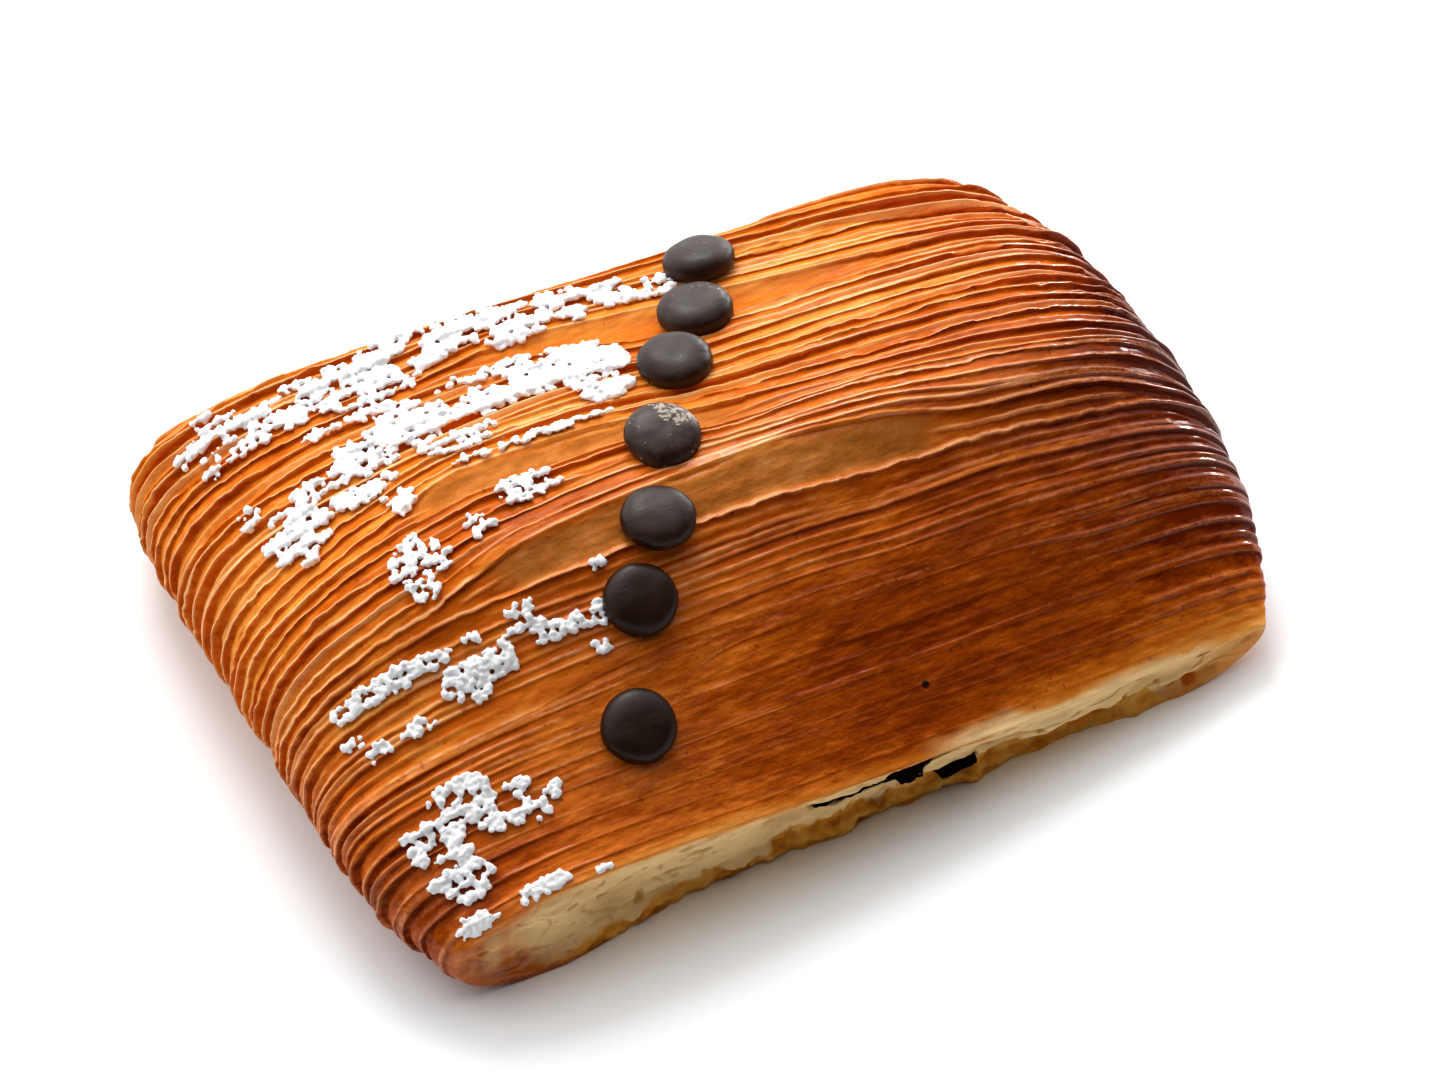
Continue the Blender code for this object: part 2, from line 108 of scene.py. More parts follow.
def sectionLine(across):
    # one section, from the floor at the left over the top to the floor at the right
    height = float(smoothLine(across, form["crownAcross"], form["crownHeights"])) * mm
    waist = min(form["waist"], height / 2)
    angle = np.linspace(math.pi, 0, form["sectionPoints"])
    cosine, sine = np.cos(angle), np.abs(np.sin(angle))
    right, left = endReach(form["rightCorners"], across), endReach(form["leftCorners"], across)
    reach = np.where(cosine > 0, right, left)
    x = reach * np.sign(cosine) * np.abs(cosine) ** (2 / form["shoulderPower"])
    share = x / form["halfLength"]
    crown = height * (1 + form["crownTilt"] * share + form["crownBow"] * share**2)
    crown = crown - form["lipFall"] * share * max(0, 1 - across / form["lipReach"]) ** 2
    z = waist + (crown - waist) * sine ** (2 / form["crownPower"])
    length = np.concatenate([[0], np.cumsum(np.hypot(np.diff(x), np.diff(z)))])

    along = np.linspace(-form["tuck"], 1 + form["tuck"], form["stepsAlong"])
    onTop = np.clip(along, 0, 1) * length[-1]
    turn = np.clip(np.maximum(-along, along - 1) / form["tuck"], 0, 1) * math.pi / 2
    tuck = form["nearTuckReach"] + (form["tuckReach"] - form["nearTuckReach"]) * waist / form["waist"]
    x = np.interp(onTop, length, x) - np.sign(along - 0.5) * tuck * (1 - np.cos(turn))
    z = np.interp(onTop, length, z) - waist * np.sin(turn)
    near, far = edgeY(form["nearEdge"], x), edgeY(form["farEdge"], x)
    return np.stack([x, near + (far - near) * across, z], axis=-1)


def formTables():
    points = np.array([sectionLine(across) for across in np.linspace(0, 1, form["stepsAcross"])])
    normals = np.cross(np.gradient(points, axis=1), np.gradient(points, axis=0))
    return points, normals / np.linalg.norm(normals, axis=-1, keepdims=True)


def lookUp(table, along, across):
    i = np.clip(across, 0, 1) * (form["stepsAcross"] - 1)
    j = np.clip((along + form["tuck"]) / (1 + 2 * form["tuck"]), 0, 1) * (form["stepsAlong"] - 1)
    i0 = np.minimum(i.astype(int), form["stepsAcross"] - 2)
    j0 = np.minimum(j.astype(int), form["stepsAlong"] - 2)
    di, dj = (i - i0)[..., None], (j - j0)[..., None]
    near = table[i0, j0] * (1 - dj) + table[i0, j0 + 1] * dj
    far = table[i0 + 1, j0] * (1 - dj) + table[i0 + 1, j0 + 1] * dj
    return near * (1 - di) + far * di


def crestAcross(number, along):
    # where a crest lies across, for every number (down) and place along (to the right)
    inside = np.clip(along, 0, 1)
    steps = np.linspace(0, 1, len(folds["nearLip"][1]))
    lines = np.array([smoothLine(inside, steps, places) for _, places in folds.values()])
    k = np.clip(np.searchsorted(foldCounts, number), 1, len(foldCounts) - 1)
    share = (number - foldCounts[k - 1]) / (foldCounts[k] - foldCounts[k - 1])
    return lines[k - 1] * (1 - share)[:, None] + lines[k] * share[:, None]


noiseTable = np.random.default_rng(5).random((256, 256))


def softNoise(x, y, seed=0):
    # smooth, -1 to 1, one bump to a unit
    x, y = np.broadcast_arrays(x + 37.7 * seed, y + 11.3 * seed)
    i, j = np.floor(x).astype(int), np.floor(y).astype(int)
    fx, fy = x - i, y - j
    fx, fy = fx * fx * (3 - 2 * fx), fy * fy * (3 - 2 * fy)
    i0, j0, i1, j1 = i % 256, j % 256, (i + 1) % 256, (j + 1) % 256
    low = noiseTable[i0, j0] * (1 - fx) + noiseTable[i1, j0] * fx
    high = noiseTable[i0, j1] * (1 - fx) + noiseTable[i1, j1] * fx
    return 2 * (low * (1 - fy) + high * fy) - 1


def steppedNoise(x, y, seed=0):
    # flat stretches along x with quick steps between them
    x, y = np.broadcast_arrays(x, y)
    return softNoise(np.floor(x) + ramp(x - np.floor(x), 0.8, 1), y, seed)


def roughNoise(x, y, seed=0, octaves=3):
    return sum(softNoise(x * 2**k, y * 2**k, seed + 3 * k) * 0.5**k for k in range(octaves))


def ramp(value, start, end):
    s = np.clip((value - start) / (end - start), 0, 1)
    return s * s * (3 - 2 * s)


# The crust's relief: a ridge drops steeply on its near side, and the channel in front rises to the next crest
relief = {
    "rows": 600,
    "ridgePlaces": (  # of its columns, from one crest to the next, closest together at the crests
        0, 0.03, 0.06, 0.095, 0.13, 0.17, 0.22, 0.3, 0.4, 0.46,
        0.5, 0.54, 0.6, 0.7, 0.78, 0.83, 0.87, 0.905, 0.94, 0.97,
    ),
    "flapPlaces": (0, 0.05, 0.11, 0.18, 0.28, 0.38, 0.45, 0.5, 0.55, 0.63, 0.74, 0.83, 0.9, 0.95),
    "gapPlaces": 36,
    "crownNear": (0.3, 1.4),  # of a crest's half width: where its far and near sides start and end
    "crownFar": (0.25, 0.85),
    "floorStart": 0.72,  # of the depth, behind a crest; less on the left shoulder
    "shoulderStart": 0.3,
    "gapAt": (0, 0.02, 0.06, 0.12, 0.25, 0.55, 0.72, 0.84, 0.93, 0.98, 1),
    "gapProfile": (0, 0.22, 0.62, 0.86, 0.97, 1, 0.84, 0.56, 0.28, 0.1, 0),
    "deepestRidge": 1.4 * mm,
    "gapFrom": (3.4 * mm, 5.2 * mm),  # spacing at which a gap between folds is open
    "deepestGap": 1.15 * mm,
    "secondFrom": (2.3 * mm, 3.2 * mm),  # spacing at which a second, smaller crest shows in a channel
    "wander": ((5, 0.16), (15, 0.07), (45, 0.03)),  # how often along, how much of the spacing
    "spacing": 0.44,  # how uneven it is
    "merges": (2.4, 0.22, 0.5),  # how often along, where they start and are full
    "mergeShare": 0.8,
    "roomFrom": (0.2 * mm, 1.1 * mm),  # spacing at which a crest has its own height
    "mostWander": 2.4 * mm,
    "ragged": ((30, 0.13 * mm), (90, 0.08 * mm), (240, 0.04 * mm)),  # of the crests' height
    "steps": ((34, 0.2 * mm), (75, 0.12 * mm)),  # torn steps in it
    "stepsAside": ((41, 0.16 * mm), (97, 0.08 * mm)),
    "heights": 0.3 * mm,  # from crest to crest
    "knobs": (38, 0.3 * mm),  # on the glazed right end
    "widths": 0.3,
    "calmest": 0.25,  # how much of the raggedness the smooth crests keep
    "raggedTo": (0.16, 0.36),  # along, where the ragged left side ends
    "raggedCrests": (0.3, 0.6),
    "jitter": ((60, 0.12 * mm), (140, 0.08 * mm)),  # of their line
    "breaks": (17, 0.3, 0.52),  # how often along, where they start and are full
    "overhang": 0.07,
    "rearGap": (0.66, 0.74, 0.2),  # across, where gaps turn as bright as channels, and what they keep
    "fadeHeight": 4.5 * mm,
    "toneSpread": 0.08,
    "shadow": 0.14,  # how much darker the painted shade line under a crest is
    "lipNear": (0.7, 1.25),  # of a crest's half width: where its pale lip fades, behind it
    "lipFar": (0.15, 0.45),  # in front of it
    "lipGap": (0.1, 0.4),  # in front of it, over an open gap
    "shadeLineNear": (0.15, 0.5),  # where the painted shade line starts and is full
    "shadeLineFar": (0.85, 1.5),  # where it fades
    "paleLip": (0.56, 0.64, 0.9, 0.95),  # along, where the near lip shows pale crumb
    "paleReach": (0.011, 0.009),  # across, and how uneven it is
    "grain": (3.5 * mm, 1.1 * mm, 0.08 * mm),  # fine unevenness: along X, along Y, height
}

# Fields over the skin: a base, and spots as place along and across, reach along and across, and what they add
ridgeDepth = {  # of the spacing
    "base": 0.22,
    "spots": (
        (-0.05, 0.5, 0.12, 0.8, 0.38),
        (1.02, 0.55, 0.16, 0.4, 0.24),
        (0.55, 0.09, 0.42, 0.2, -0.27),
        (0.35, 0.7, 0.15, 0.1, 0.06),
        (0.3, 0.14, 0.13, 0.14, -0.08),
        (0.6, 0.77, 0.12, 0.05, -0.2),
    ),
}
crestWidth = {  # half of it, in mm
    "base": 0.4,
    "spots": (
        (-0.05, 0.5, 0.14, 0.8, 0.12),
        (1.0, 0.5, 0.2, 0.5, 0.2),
        (0.5, 0.1, 0.42, 0.17, -0.28),
    ),
}


def spotted(field, along, across):
    value = field["base"] + 0 * along * across
    for atAlong, atAcross, reachAlong, reachAcross, much in field["spots"]:
        away = ((along - atAlong) / reachAlong) ** 2 + ((across - atAcross) / reachAcross) ** 2
        value = value + much * np.exp(-away)
    return value


def ridgeColumns():
    # (ridge number, place in it, 1 in an open gap, 1 on the near slope) for each column of the skin
    columns = []
    number = 0
    for fold, (count, _) in list(folds.items())[1:]:
        gap = count == 1
        onFlap = fold == "frontGapNear"
        places = relief["flapPlaces"] if onFlap else relief["ridgePlaces"]
        places = np.linspace(0, 1, relief["gapPlaces"], endpoint=False) if gap else places
        for _ in range(count):
            columns += [(number, place, float(gap), float(onFlap)) for place in places]
            number += 1
    columns.append((number - 1, 1.0, 0.0, 0.0))
    return np.array(columns).T


def crestWave(number, along, often, apart, seed, kind=softNoise):
    # a noise along every crest, unlike its neighbours'
    return kind(along[None, :] * often, number.reshape(-1, 1) * apart, seed)


def crestNoise(number, along, terms, seed, kind=softNoise):
    total = 0
    for k, (often, much) in enumerate(terms):
        total = total + crestWave(number, along, often, 5.37, seed + k, kind) * much
    return total


def raggedness(number, along):
    # the left side is ragged, and a few crests elsewhere
    some = crestWave(number, along, 1.7, 5.9, 74)
    share = np.maximum(ramp(some, *relief["raggedCrests"]), 1 - ramp(along, *relief["raggedTo"])[None, :])
    return relief["calmest"] + (1 - relief["calmest"]) * share


def crestHeight(number, along):
    # ragged, with torn steps, and higher or lower as a whole; less so where it runs close beside another
    height = crestNoise(number, along, relief["ragged"], 20)
    height = height + crestNoise(number, along, relief["steps"], 60, steppedNoise)
    height = height * raggedness(number, along)
    whole = relief["heights"] * (1 + 1.4 * ramp(along, 0.74, 0.95))
    height = height + crestWave(number, along, 3, 7.1, 64) * whole[None, :]
    often, much = relief["knobs"]
    height = height + crestWave(number, along, often, 3.3, 78) * much * ramp(along, 0.78, 0.92)[None, :]
    here = mergedAcross(number, along)
    before, after = here - mergedAcross(number - 1, along), mergedAcross(number + 1, along) - here
    before, after = (np.where(gap > 0, gap, 1) for gap in (before, after))
    room = np.minimum(before, after) * (form["farEdge"][0] - form["nearEdge"][0])
    return height * (0.1 + 0.9 * ramp(room, *relief["roomFrom"]))


def mergedAcross(number, along):
    # crests lie unevenly, and every other one runs into a neighbour here and there; those beside a gap stay
    number = np.clip(number, 0, foldCounts[-1])
    here = crestAcross(number, along)
    before = here - crestAcross(np.maximum(number - 1, 0), along)
    after = crestAcross(np.minimum(number + 1, foldCounts[-1]), along) - here
    fixed = np.isin(number, foldCounts)[:, None]
    uneven = crestWave(number, along, 1.3, 6.1, 40) * relief["spacing"]
    often, start, full = relief["merges"]
    merge = ramp(crestWave(number, along, often, 4.3, 44), start, full) * relief["mergeShare"]
    side = softNoise(number[:, None] * 3.7, 0 * along[None, :], 46) > 0
    merge = np.where((number % 2 == 0)[:, None], merge, 0)
    move = uneven * np.minimum(before, after) * (1 - merge) + np.where(side, after, -before) * merge
    return here + np.where(fixed, 0, move)


def crestLine(number, along):
    # the crest's place across with its wander, which keeps it clear of its neighbours
    last = foldCounts[-1]
    here = mergedAcross(number, along)
    width = form["farEdge"][0] - form["nearEdge"][0]
    before = here - mergedAcross(number - 1, along)
    after = mergedAcross(number + 1, along) - here
    held = ((number > 0) & (number < last))[:, None]
    room = np.where(held, np.minimum(np.minimum(before, after), relief["mostWander"] / width), 0)
    calm = 1 - 0.5 * (1 - ramp(here, 0.22, 0.34))
    jitter = crestNoise(number, along, relief["jitter"], 30)
    jitter = jitter + crestNoise(number, along, relief["stepsAside"], 66, steppedNoise)
    jitter = jitter * raggedness(number, along) / width
    jitter = np.clip(jitter, -0.12 * room, 0.12 * room) * (2 * calm - 1)
    return here + crestNoise(number, along, relief["wander"], 2) * room * calm + jitter


def skinGrid(tables):
    # positions and facts of every point of the skin, column by column
    number, place, gap, flap = ridgeColumns()
    along = np.linspace(-form["tuck"], 1 + form["tuck"], relief["rows"])
    place, gap, flap = place[:, None], gap[:, None], flap[:, None]
    crests = np.arange(foldCounts[-1] + 1)
    lines, heights = crestLine(crests, along), crestHeight(crests, along)
    nearCrest = number.astype(int)
    low, high = lines[nearCrest], lines[nearCrest + 1]
    width = form["farEdge"][0] - form["nearEdge"][0]
    space = (high - low) * width
    plain = (crestAcross(number + 1, along) - crestAcross(number, along)) * width
    gap = gap * ramp(plain, *relief["gapFrom"])
    last = foldCounts[-1]
    heldNear, heldFar = (number > 0.5)[:, None] * 1.0, (number < last - 1.5)[:, None] * 1.0

    # how deep the channel is here, as a share
    leftSide = 1 - ramp(along, -0.02, 0.1)
    groove = np.clip(leftSide[None, :] * 0.9, 0, 1)
    half = spotted(crestWidth, along[None, :], low + (high - low) * place) * mm
    nearest = number[:, None] + (place > 0.5)
    half = half * (1 + relief["widths"] * crestWave(nearest, along, 9, 3.9, 70))
    behind, before = place * space, (1 - place) * space
    start = relief["floorStart"] * (1 - groove) + relief["shoulderStart"] * groove
    depthOf = ramp(behind / half, *relief["crownNear"]) * (start + (1 - start) * place)
    depthOf = depthOf * ramp(before / half, *relief["crownFar"])
    strength = 0.5 + 0.5 * crestWave(number, along, 7, 3.1, 8)
    second = ramp(space, *relief["secondFrom"]) * np.clip(0.3 + strength, 0, 1)
    second = np.maximum(second, flap * np.clip(2.4 * strength - 0.7, 0, 1)) * (1 - gap)
    middle = np.abs(place - 0.5) * space / (0.75 * half)
    depthOf = depthOf * (1 - 0.9 * second * (1 - ramp(middle, *relief["crownNear"])))
    depthOf = depthOf * (1 - gap) + smoothLine(place, relief["gapAt"], relief["gapProfile"]) * gap

    overhang = relief["overhang"] * np.exp(-((place - 0.91) / 0.05) ** 2) * (1 - gap) * (1 - 0.6 * flap)
    across = low + (high - low) * (place + overhang)
    uneven = 1 + 0.5 * crestWave(number, along, 11, 2.3, 4)
    ridgeShare = np.maximum(spotted(ridgeDepth, along[None, :], across), 0.03)
    depth = np.minimum(ridgeShare * space * uneven, relief["deepestRidge"]) * (1 - gap)
    depth = depth + relief["deepestGap"] * gap
    depth = depth * ramp(across, 0.0, 0.04) * (1 - gap) + depth * gap

    often, start, full = relief["breaks"]
    nearBreak = ramp(crestWave(number, along, often, 7.7, 12), start, full) * heldNear
    farBreak = ramp(crestWave(number + 1, along, often, 7.7, 12), start, full) * heldFar
    toNear = np.exp(-((place / 0.22) ** 2)) * (1 - gap * 0.5)
    toFar = np.exp(-(((1 - place) / 0.16) ** 2))
    drop = 0.55 * depth * (nearBreak * toNear + farBreak * toFar)
    calm = 1 - 0.65 * flap * (1 - leftSide[None, :])
    ragged = heights[nearCrest] * heldNear * (1 - place) + heights[nearCrest + 1] * heldFar * place
    spot = lookUp(tables[0], along[None, :] + 0 * across, across)
    normal = lookUp(tables[1], along[None, :] + 0 * across, across)
    normal = normal / np.linalg.norm(normal, axis=-1, keepdims=True)
    grainX, grainY, grainHeight = relief["grain"]
    fine = roughNoise(spot[..., 0] / grainX, spot[..., 1] / grainY, 31, 3) * grainHeight
    lift = ragged * (1 - 0.8 * depthOf) * calm - depth * depthOf - drop + fine
    fade = np.sqrt(np.clip(spot[..., 2] / relief["fadeHeight"], 0, 1))
    moved = spot + normal * (lift * fade)[..., None]
    moved[..., 2] = np.maximum(moved[..., 2], 0)

    # the pale lip on a crest, partly painted light, and the painted shade line under it
    lip = (1 - ramp(behind / half, *relief["lipNear"])) * (1 - nearBreak) * heldNear
    front = 1 - ramp(before / half, *relief["lipFar"]) * (1 - gap)
    front = front - ramp(before / half, *relief["lipGap"]) * gap
    lip = np.maximum(lip, front * (1 - farBreak) * heldFar)
    line = ramp(before / half, *relief["shadeLineNear"]) * (1 - ramp(before / half, *relief["shadeLineFar"]))
    line = line * np.clip(depth / (0.5 * mm), 0, 1) * (1 - 0.5 * gap) * fade * heldFar
    lip = np.maximum(lip, (1 - ramp(middle, 0.6, 1.15)) * second * (0.35 + 0.65 * strength))
    nearest = number[:, None] + np.round(place * 2) / 2
    parts = ramp(crestWave(nearest, along, 13, 9.1, 15), -0.25, 0.35)
    parts = (0.12 + 0.88 * parts) * (0.55 + 0.45 * crestWave(nearest, along, 190, 9.1, 17))
    onFlap = flap * (1 - leftSide[None, :])
    lip = lip * (1 - onFlap * (1 - parts * ramp(space, 0.4 * mm, 1.1 * mm) * ramp(across, 0.03, 0.14)))
    tone = crestWave(number, along, 3.5, 1.7, 25) * relief["toneSpread"] * (1 - gap)
    # painted shade: darker along the line under each crest
    tone = tone + relief["shadow"] * line
    start, full, kept = relief["rearGap"]
    dull = 1 - (1 - kept) * ramp(across, start, full)
    mean, spread = relief["paleReach"]
    reach = mean + spread * roughNoise(along[None, :] * 16, 0 * across, 82)
    stretch = ramp(along, *relief["paleLip"][:2]) * (1 - ramp(along, *relief["paleLip"][2:]))
    pale = (1 - ramp(across, 0.2 * reach, 1.6 * reach)) * stretch[None, :]
    facts = {
        "along": along[None, :] + 0 * across,
        "across": across,
        # the painted shade line under a crest counts as deep channel too
        "valley": np.maximum(depthOf * np.clip(depth / (0.3 * mm), 0, 1) * fade, line),
        "lip": lip * (1 - groove * 0.35),
        "tone": tone,
        "gapFloor": gap * ramp(place, 0.03, 0.12) * (1 - ramp(place, 0.75, 0.95)) * dull,
        "crumb": pale,
        "baked": 0 * across,
    }
    return moved, facts


filling = {
    "outlines": (  # as it shows in the near cut: millimetres along X and Z, clockwise from the left
        (
            (-9.5, 8.6), (-6, 9.2), (-2, 9.8), (2, 10.2), (6, 10.5), (10, 10.6), (12.6, 10.3), (12.3, 9.2),
            (8.4, 8.9), (7.4, 8.2), (7.2, 6.6), (5.4, 5.9), (3.6, 6.5), (3.0, 8.0), (-1, 8.3), (-4.2, 7.8),
            (-5, 7.2), (-7, 7.8),
        ),
        ((9.8, 4.8), (12, 5.2), (15.6, 5.5), (15.8, 4.4), (13, 3.6), (10.2, 3.6)),
    ),
    "clear": 0.35 * mm,
    "hollow": 2.4 * mm,  # how far the crumb draws back from it
    "voxel": 0.4 * mm,
    "waves": 1.6 * mm,
    "unevenness": 0.22 * mm,
    "covered": 4 * mm,  # how far it lies behind the crumb that covers it
    "coveredFrom": 12 * mm,
}


def outlineDistance(outlines, x, z):
    # from the nearest outline, less than nothing inside it
    nearest, inside = np.full(x.shape, np.inf), np.zeros(x.shape, bool)
    sides = [side for outline in outlines for side in zip(outline, outline[1:] + outline[:1])]
    for (ax, az), (bx, bz) in sides:
        share = ((x - ax) * (bx - ax) + (z - az) * (bz - az)) / ((bx - ax) ** 2 + (bz - az) ** 2)
        share = np.clip(share, 0, 1)
        nearest = np.minimum(nearest, np.hypot(x - ax - share * (bx - ax), z - az - share * (bz - az)))
        if az != bz:
            inside ^= ((az > z) != (bz > z)) & (x < (bx - ax) * (z - az) / (bz - az) + ax)
    return np.where(inside, -nearest, nearest)


# The cut sides: open crumb under a golden lip, and a browned base; places along X run from -1 to 1
cuts = {
    "steps": 64,
    "undercut": 3.2 * mm,
    "leastUndercut": 0.3,
    "cornerReach": 20 * mm,
    "tallCut": 8 * mm,
    "crumbFromLeft": (1.5 * mm, 7 * mm),  # the corners are closed and golden
    "crumbFromRight": (1 * mm, 7 * mm),
    "setBack": 1.0 * mm,
    "smoothAt": (0, 0.05, 0.14, 0.4, 0.74, 0.84, 0.93, 1),  # down a plain stretch
    "smoothBack": (0, 0.1, 0.7, 1.1, 1.1, 0.4, 0.0, 0),
    "tornAt": (0, 0.08, 0.3, 0.46, 0.53, 0.62, 0.8, 0.92, 1),  # down a stretch whose upper leaf hangs over
    "tornBack": (0, 0.1, 0.3, 0.2, 1.5, 2.2, 1.7, 0.7, 0.5),
    "tornFrom": (0.2, 0.3),
    "baseAt": (-1, -0.9, -0.25, -0.17, 0, 0.1, 0.22, 0.3, 0.6, 0.68, 1),
    "baseShare": (0.74, 0.84, 0.87, 0.6, 0.6, 0.66, 0.62, 0.58, 0.62, 0.93, 0.86),  # down, where it begins
    "baseRagged": (0.03, 0.06, 0.06, 0.18, 0.18, 0.12, 0.1, 0.05, 0.06, 0.08, 0.05),
    "lumps": 0.8 * mm,
    "creases": 0.4 * mm,
    "pores": 0.9 * mm,
    "bakedBumps": 0.5 * mm,
    "floorRagged": 0.7 * mm,
}


def cutGrid(lip, edge, inward, seed):
    # columns down a cut side, from under its lip to the floor
    tall = np.clip(lip[:, 2] / cuts["tallCut"], 0, 1)
    floor = lip.copy()
    share = 0.5 - 0.5 * np.cos(np.linspace(0, math.pi, len(lip)))
    floor[:, 0] = lip[0, 0] + (lip[-1, 0] - lip[0, 0]) * share
    side = floor[:, 0] / form["halfLength"]
    fromLeft, fromRight = floor[:, 0] - lip[0, 0], lip[-1, 0] - floor[:, 0]
    fromCorner = ramp(np.minimum(fromLeft, fromRight), 0, cuts["cornerReach"])
    undercut = cuts["undercut"] * fromCorner * np.clip(1 - side, cuts["leastUndercut"], 1)
    ragged = roughNoise(floor[:, 0] / (5 * mm), 0 * side, seed + 3, 4) * cuts["floorRagged"] * fromCorner
    floor[:, 1] = edgeY(edge, floor[:, 0]) + inward * np.maximum(undercut + ragged, 0)
    floor[:, 2] = 0
    down = np.linspace(0, 1, cuts["steps"] + 1)[1:, None]
    spot = lip[None] + (floor - lip)[None] * down[..., None]
    x, z = spot[..., 0], spot[..., 2]
    side = x / form["halfLength"]

    torn = ramp(side, *cuts["tornFrom"]) * (inward > 0)
    wobble = roughNoise(x / (3.2 * mm), 0 * z, seed + 17, 4)
    at = np.clip(down + torn * 0.07 * wobble * (1 - down) * down * 4, 0, 1)
    back = smoothLine(at, cuts["smoothAt"], cuts["smoothBack"]) * (1 - torn)
    back = (back + smoothLine(at, cuts["tornAt"], cuts["tornBack"]) * torn) * cuts["setBack"]
    base = smoothLine(side, cuts["baseAt"], cuts["baseShare"])
    baseRagged = smoothLine(side, cuts["baseAt"], cuts["baseRagged"])
    base = base + baseRagged * roughNoise(x / (4 * mm), 0 * z, seed + 13, 4)
    baked = ramp(at, base - 0.025, base + 0.025)

    inside = ramp(down, 0.03, 0.16) * (1 - ramp(down, 0.92, 1))
    lumps = roughNoise(x / (8 * mm), z / (3.5 * mm), seed, 3) * cuts["lumps"]
    creases = np.abs(roughNoise(x / (9 * mm), z / (2.6 * mm), seed + 9, 2))
    creases = np.maximum(0.1 - creases, 0) / 0.1 * cuts["creases"]
    pores = ramp(roughNoise(x / (2.6 * mm), z / (1.5 * mm), seed + 5, 2), 0.62, 0.85) * cuts["pores"]
    pores = pores * (0.5 + torn)
    bumps = roughNoise(x / (2.4 * mm), z / (1.3 * mm), seed + 21, 3) * cuts["bakedBumps"]
    bumps = bumps * baked * (1 - ramp(down, 0.97, 1))
    draw = back + (lumps + creases + pores) * inside * (1 - 0.7 * baked) + bumps
    if inward > 0:
        apart = outlineDistance(filling["outlines"], x / mm, z / mm) * mm
        draw = draw + filling["hollow"] * (1 - ramp(apart, 0, filling["clear"])) * inside
    spot[..., 1] += inward * tall**2 * draw
    inCrumb = ramp(fromLeft + 2 * mm * wobble, *cuts["crumbFromLeft"])
    inCrumb = inCrumb * ramp(fromRight, *cuts["crumbFromRight"])
    start, full = 0.02 - 0.2 * torn, 0.15 - 0.2 * torn + 0.25 * (1 - fromCorner)
    # painted shade: the crumb's creases and pores, carried as its valley
    hollow = (creases * 0.6 + pores + np.maximum(lumps, 0) * 0.3) * inside
    facts = {
        "along": np.linspace(-form["tuck"], 1 + form["tuck"], len(lip))[None] + 0 * down,
        "across": 0 * x + (0 if inward > 0 else 1),
        "valley": np.clip(hollow / (0.9 * mm), 0, 1),
        "lip": 0 * x,
        "tone": 0 * x,
        "gapFloor": 0 * x,
        "crumb": ramp(down + 0.04 * wobble, start, full) * ramp(tall, 0.2, 0.9) * inCrumb,
        "baked": baked,
    }
    return spot, facts


tables = formTables()
skin, skinFacts = skinGrid(tables)
nearCut, nearFacts = cutGrid(skin[0], form["nearEdge"], 1, 41)
farCut, farFacts = cutGrid(skin[-1], form["farEdge"], -1, 61)
wholeGrid = np.concatenate([nearCut[::-1], skin, farCut])
wholeFacts = {
    key: np.concatenate([nearFacts[key][::-1], skinFacts[key], farFacts[key]]) for key in skinFacts
}
print("crust worked out:", wholeGrid.shape[0], "columns by", wholeGrid.shape[1], "rows")


# Browning: place along and across, reach along and across, how much darker
browning = {
    "base": 0.34,
    "spots": (
        (0.65, 0.13, 0.45, 0.22, 0.56),  # the dark flap, then the right end
        (1.0, 0.42, 0.15, 0.34, 0.7),
        (0.0, 0.0, 0.16, 0.16, 0.36),
        (0.0, 0.25, 0.08, 0.2, 0.16),
        (0.95, 0.0, 0.28, 0.09, -0.34),
        (0.8, 0.0, 0.3, 0.02, -0.25),
        (0.3, 0.0, 0.4, 0.012, -0.25),
        (0.6, 0.055, 0.32, 0.045, 0.16),
        (0.3, 0.45, 0.12, 0.05, 0.14),
        (0.2, 0.4, 0.12, 0.12, 0.1),
        (0.1, 0.8, 0.1, 0.1, 0.12),
        (-0.08, 0.5, 0.05, 0.6, 0.2),
        (0.09, 0.55, 0.12, 0.4, -0.12),
        (0.85, 0.4, 0.12, 0.08, 0.2),
        (0.72, 0.52, 0.06, 0.05, 0.1),
        (0.75, 0.97, 0.3, 0.04, 0.15),
        (0.62, 0.62, 0.14, 0.03, -0.12),
    ),
}
shine = {
    "base": 0.12,
    "spots": (
        (0.97, 0.4, 0.17, 0.36, 1.0),
        (0.75, 0.62, 0.24, 0.22, 0.6),
        (0.75, 0.4, 0.25, 0.07, 0.5),
        (0.5, 0.45, 0.25, 0.08, 0.3),
        (-0.05, 0.5, 0.1, 0.5, 0.35),
        (0.3, 0.3, 0.2, 0.05, 0.2),
        (0.6, 0.2, 0.4, 0.12, 0.22),
        (0.0, 0.02, 0.14, 0.14, 0.5),
    ),
}


def addAttribute(mesh, name, values):
    made = mesh.attributes.new(name, "FLOAT", "POINT")
    made.data.foreach_set("value", np.asarray(values, np.float32).ravel())


def makePiece(name, bm, material=None):
    mesh = bpy.data.meshes.new(name)
    bm.to_mesh(mesh)
    bm.free()
    piece = bpy.data.objects.new(name, mesh)
    bpy.context.scene.collection.objects.link(piece)
    if material:
        mesh.materials.append(material)
    return piece


def readPoints(mesh, kind="co"):
    values = np.empty(len(mesh.vertices) * 3, np.float32)
    mesh.vertices.foreach_get(kind, values)
    return values.reshape(-1, 3).astype(float)


def movePoints(mesh, points):
    mesh.vertices.foreach_set("co", points.astype(np.float32).ravel())
    mesh.update()


def applyModifiers(piece):
    graph = bpy.context.evaluated_depsgraph_get()
    piece.data = bpy.data.meshes.new_from_object(piece.evaluated_get(graph))
    piece.modifiers.clear()


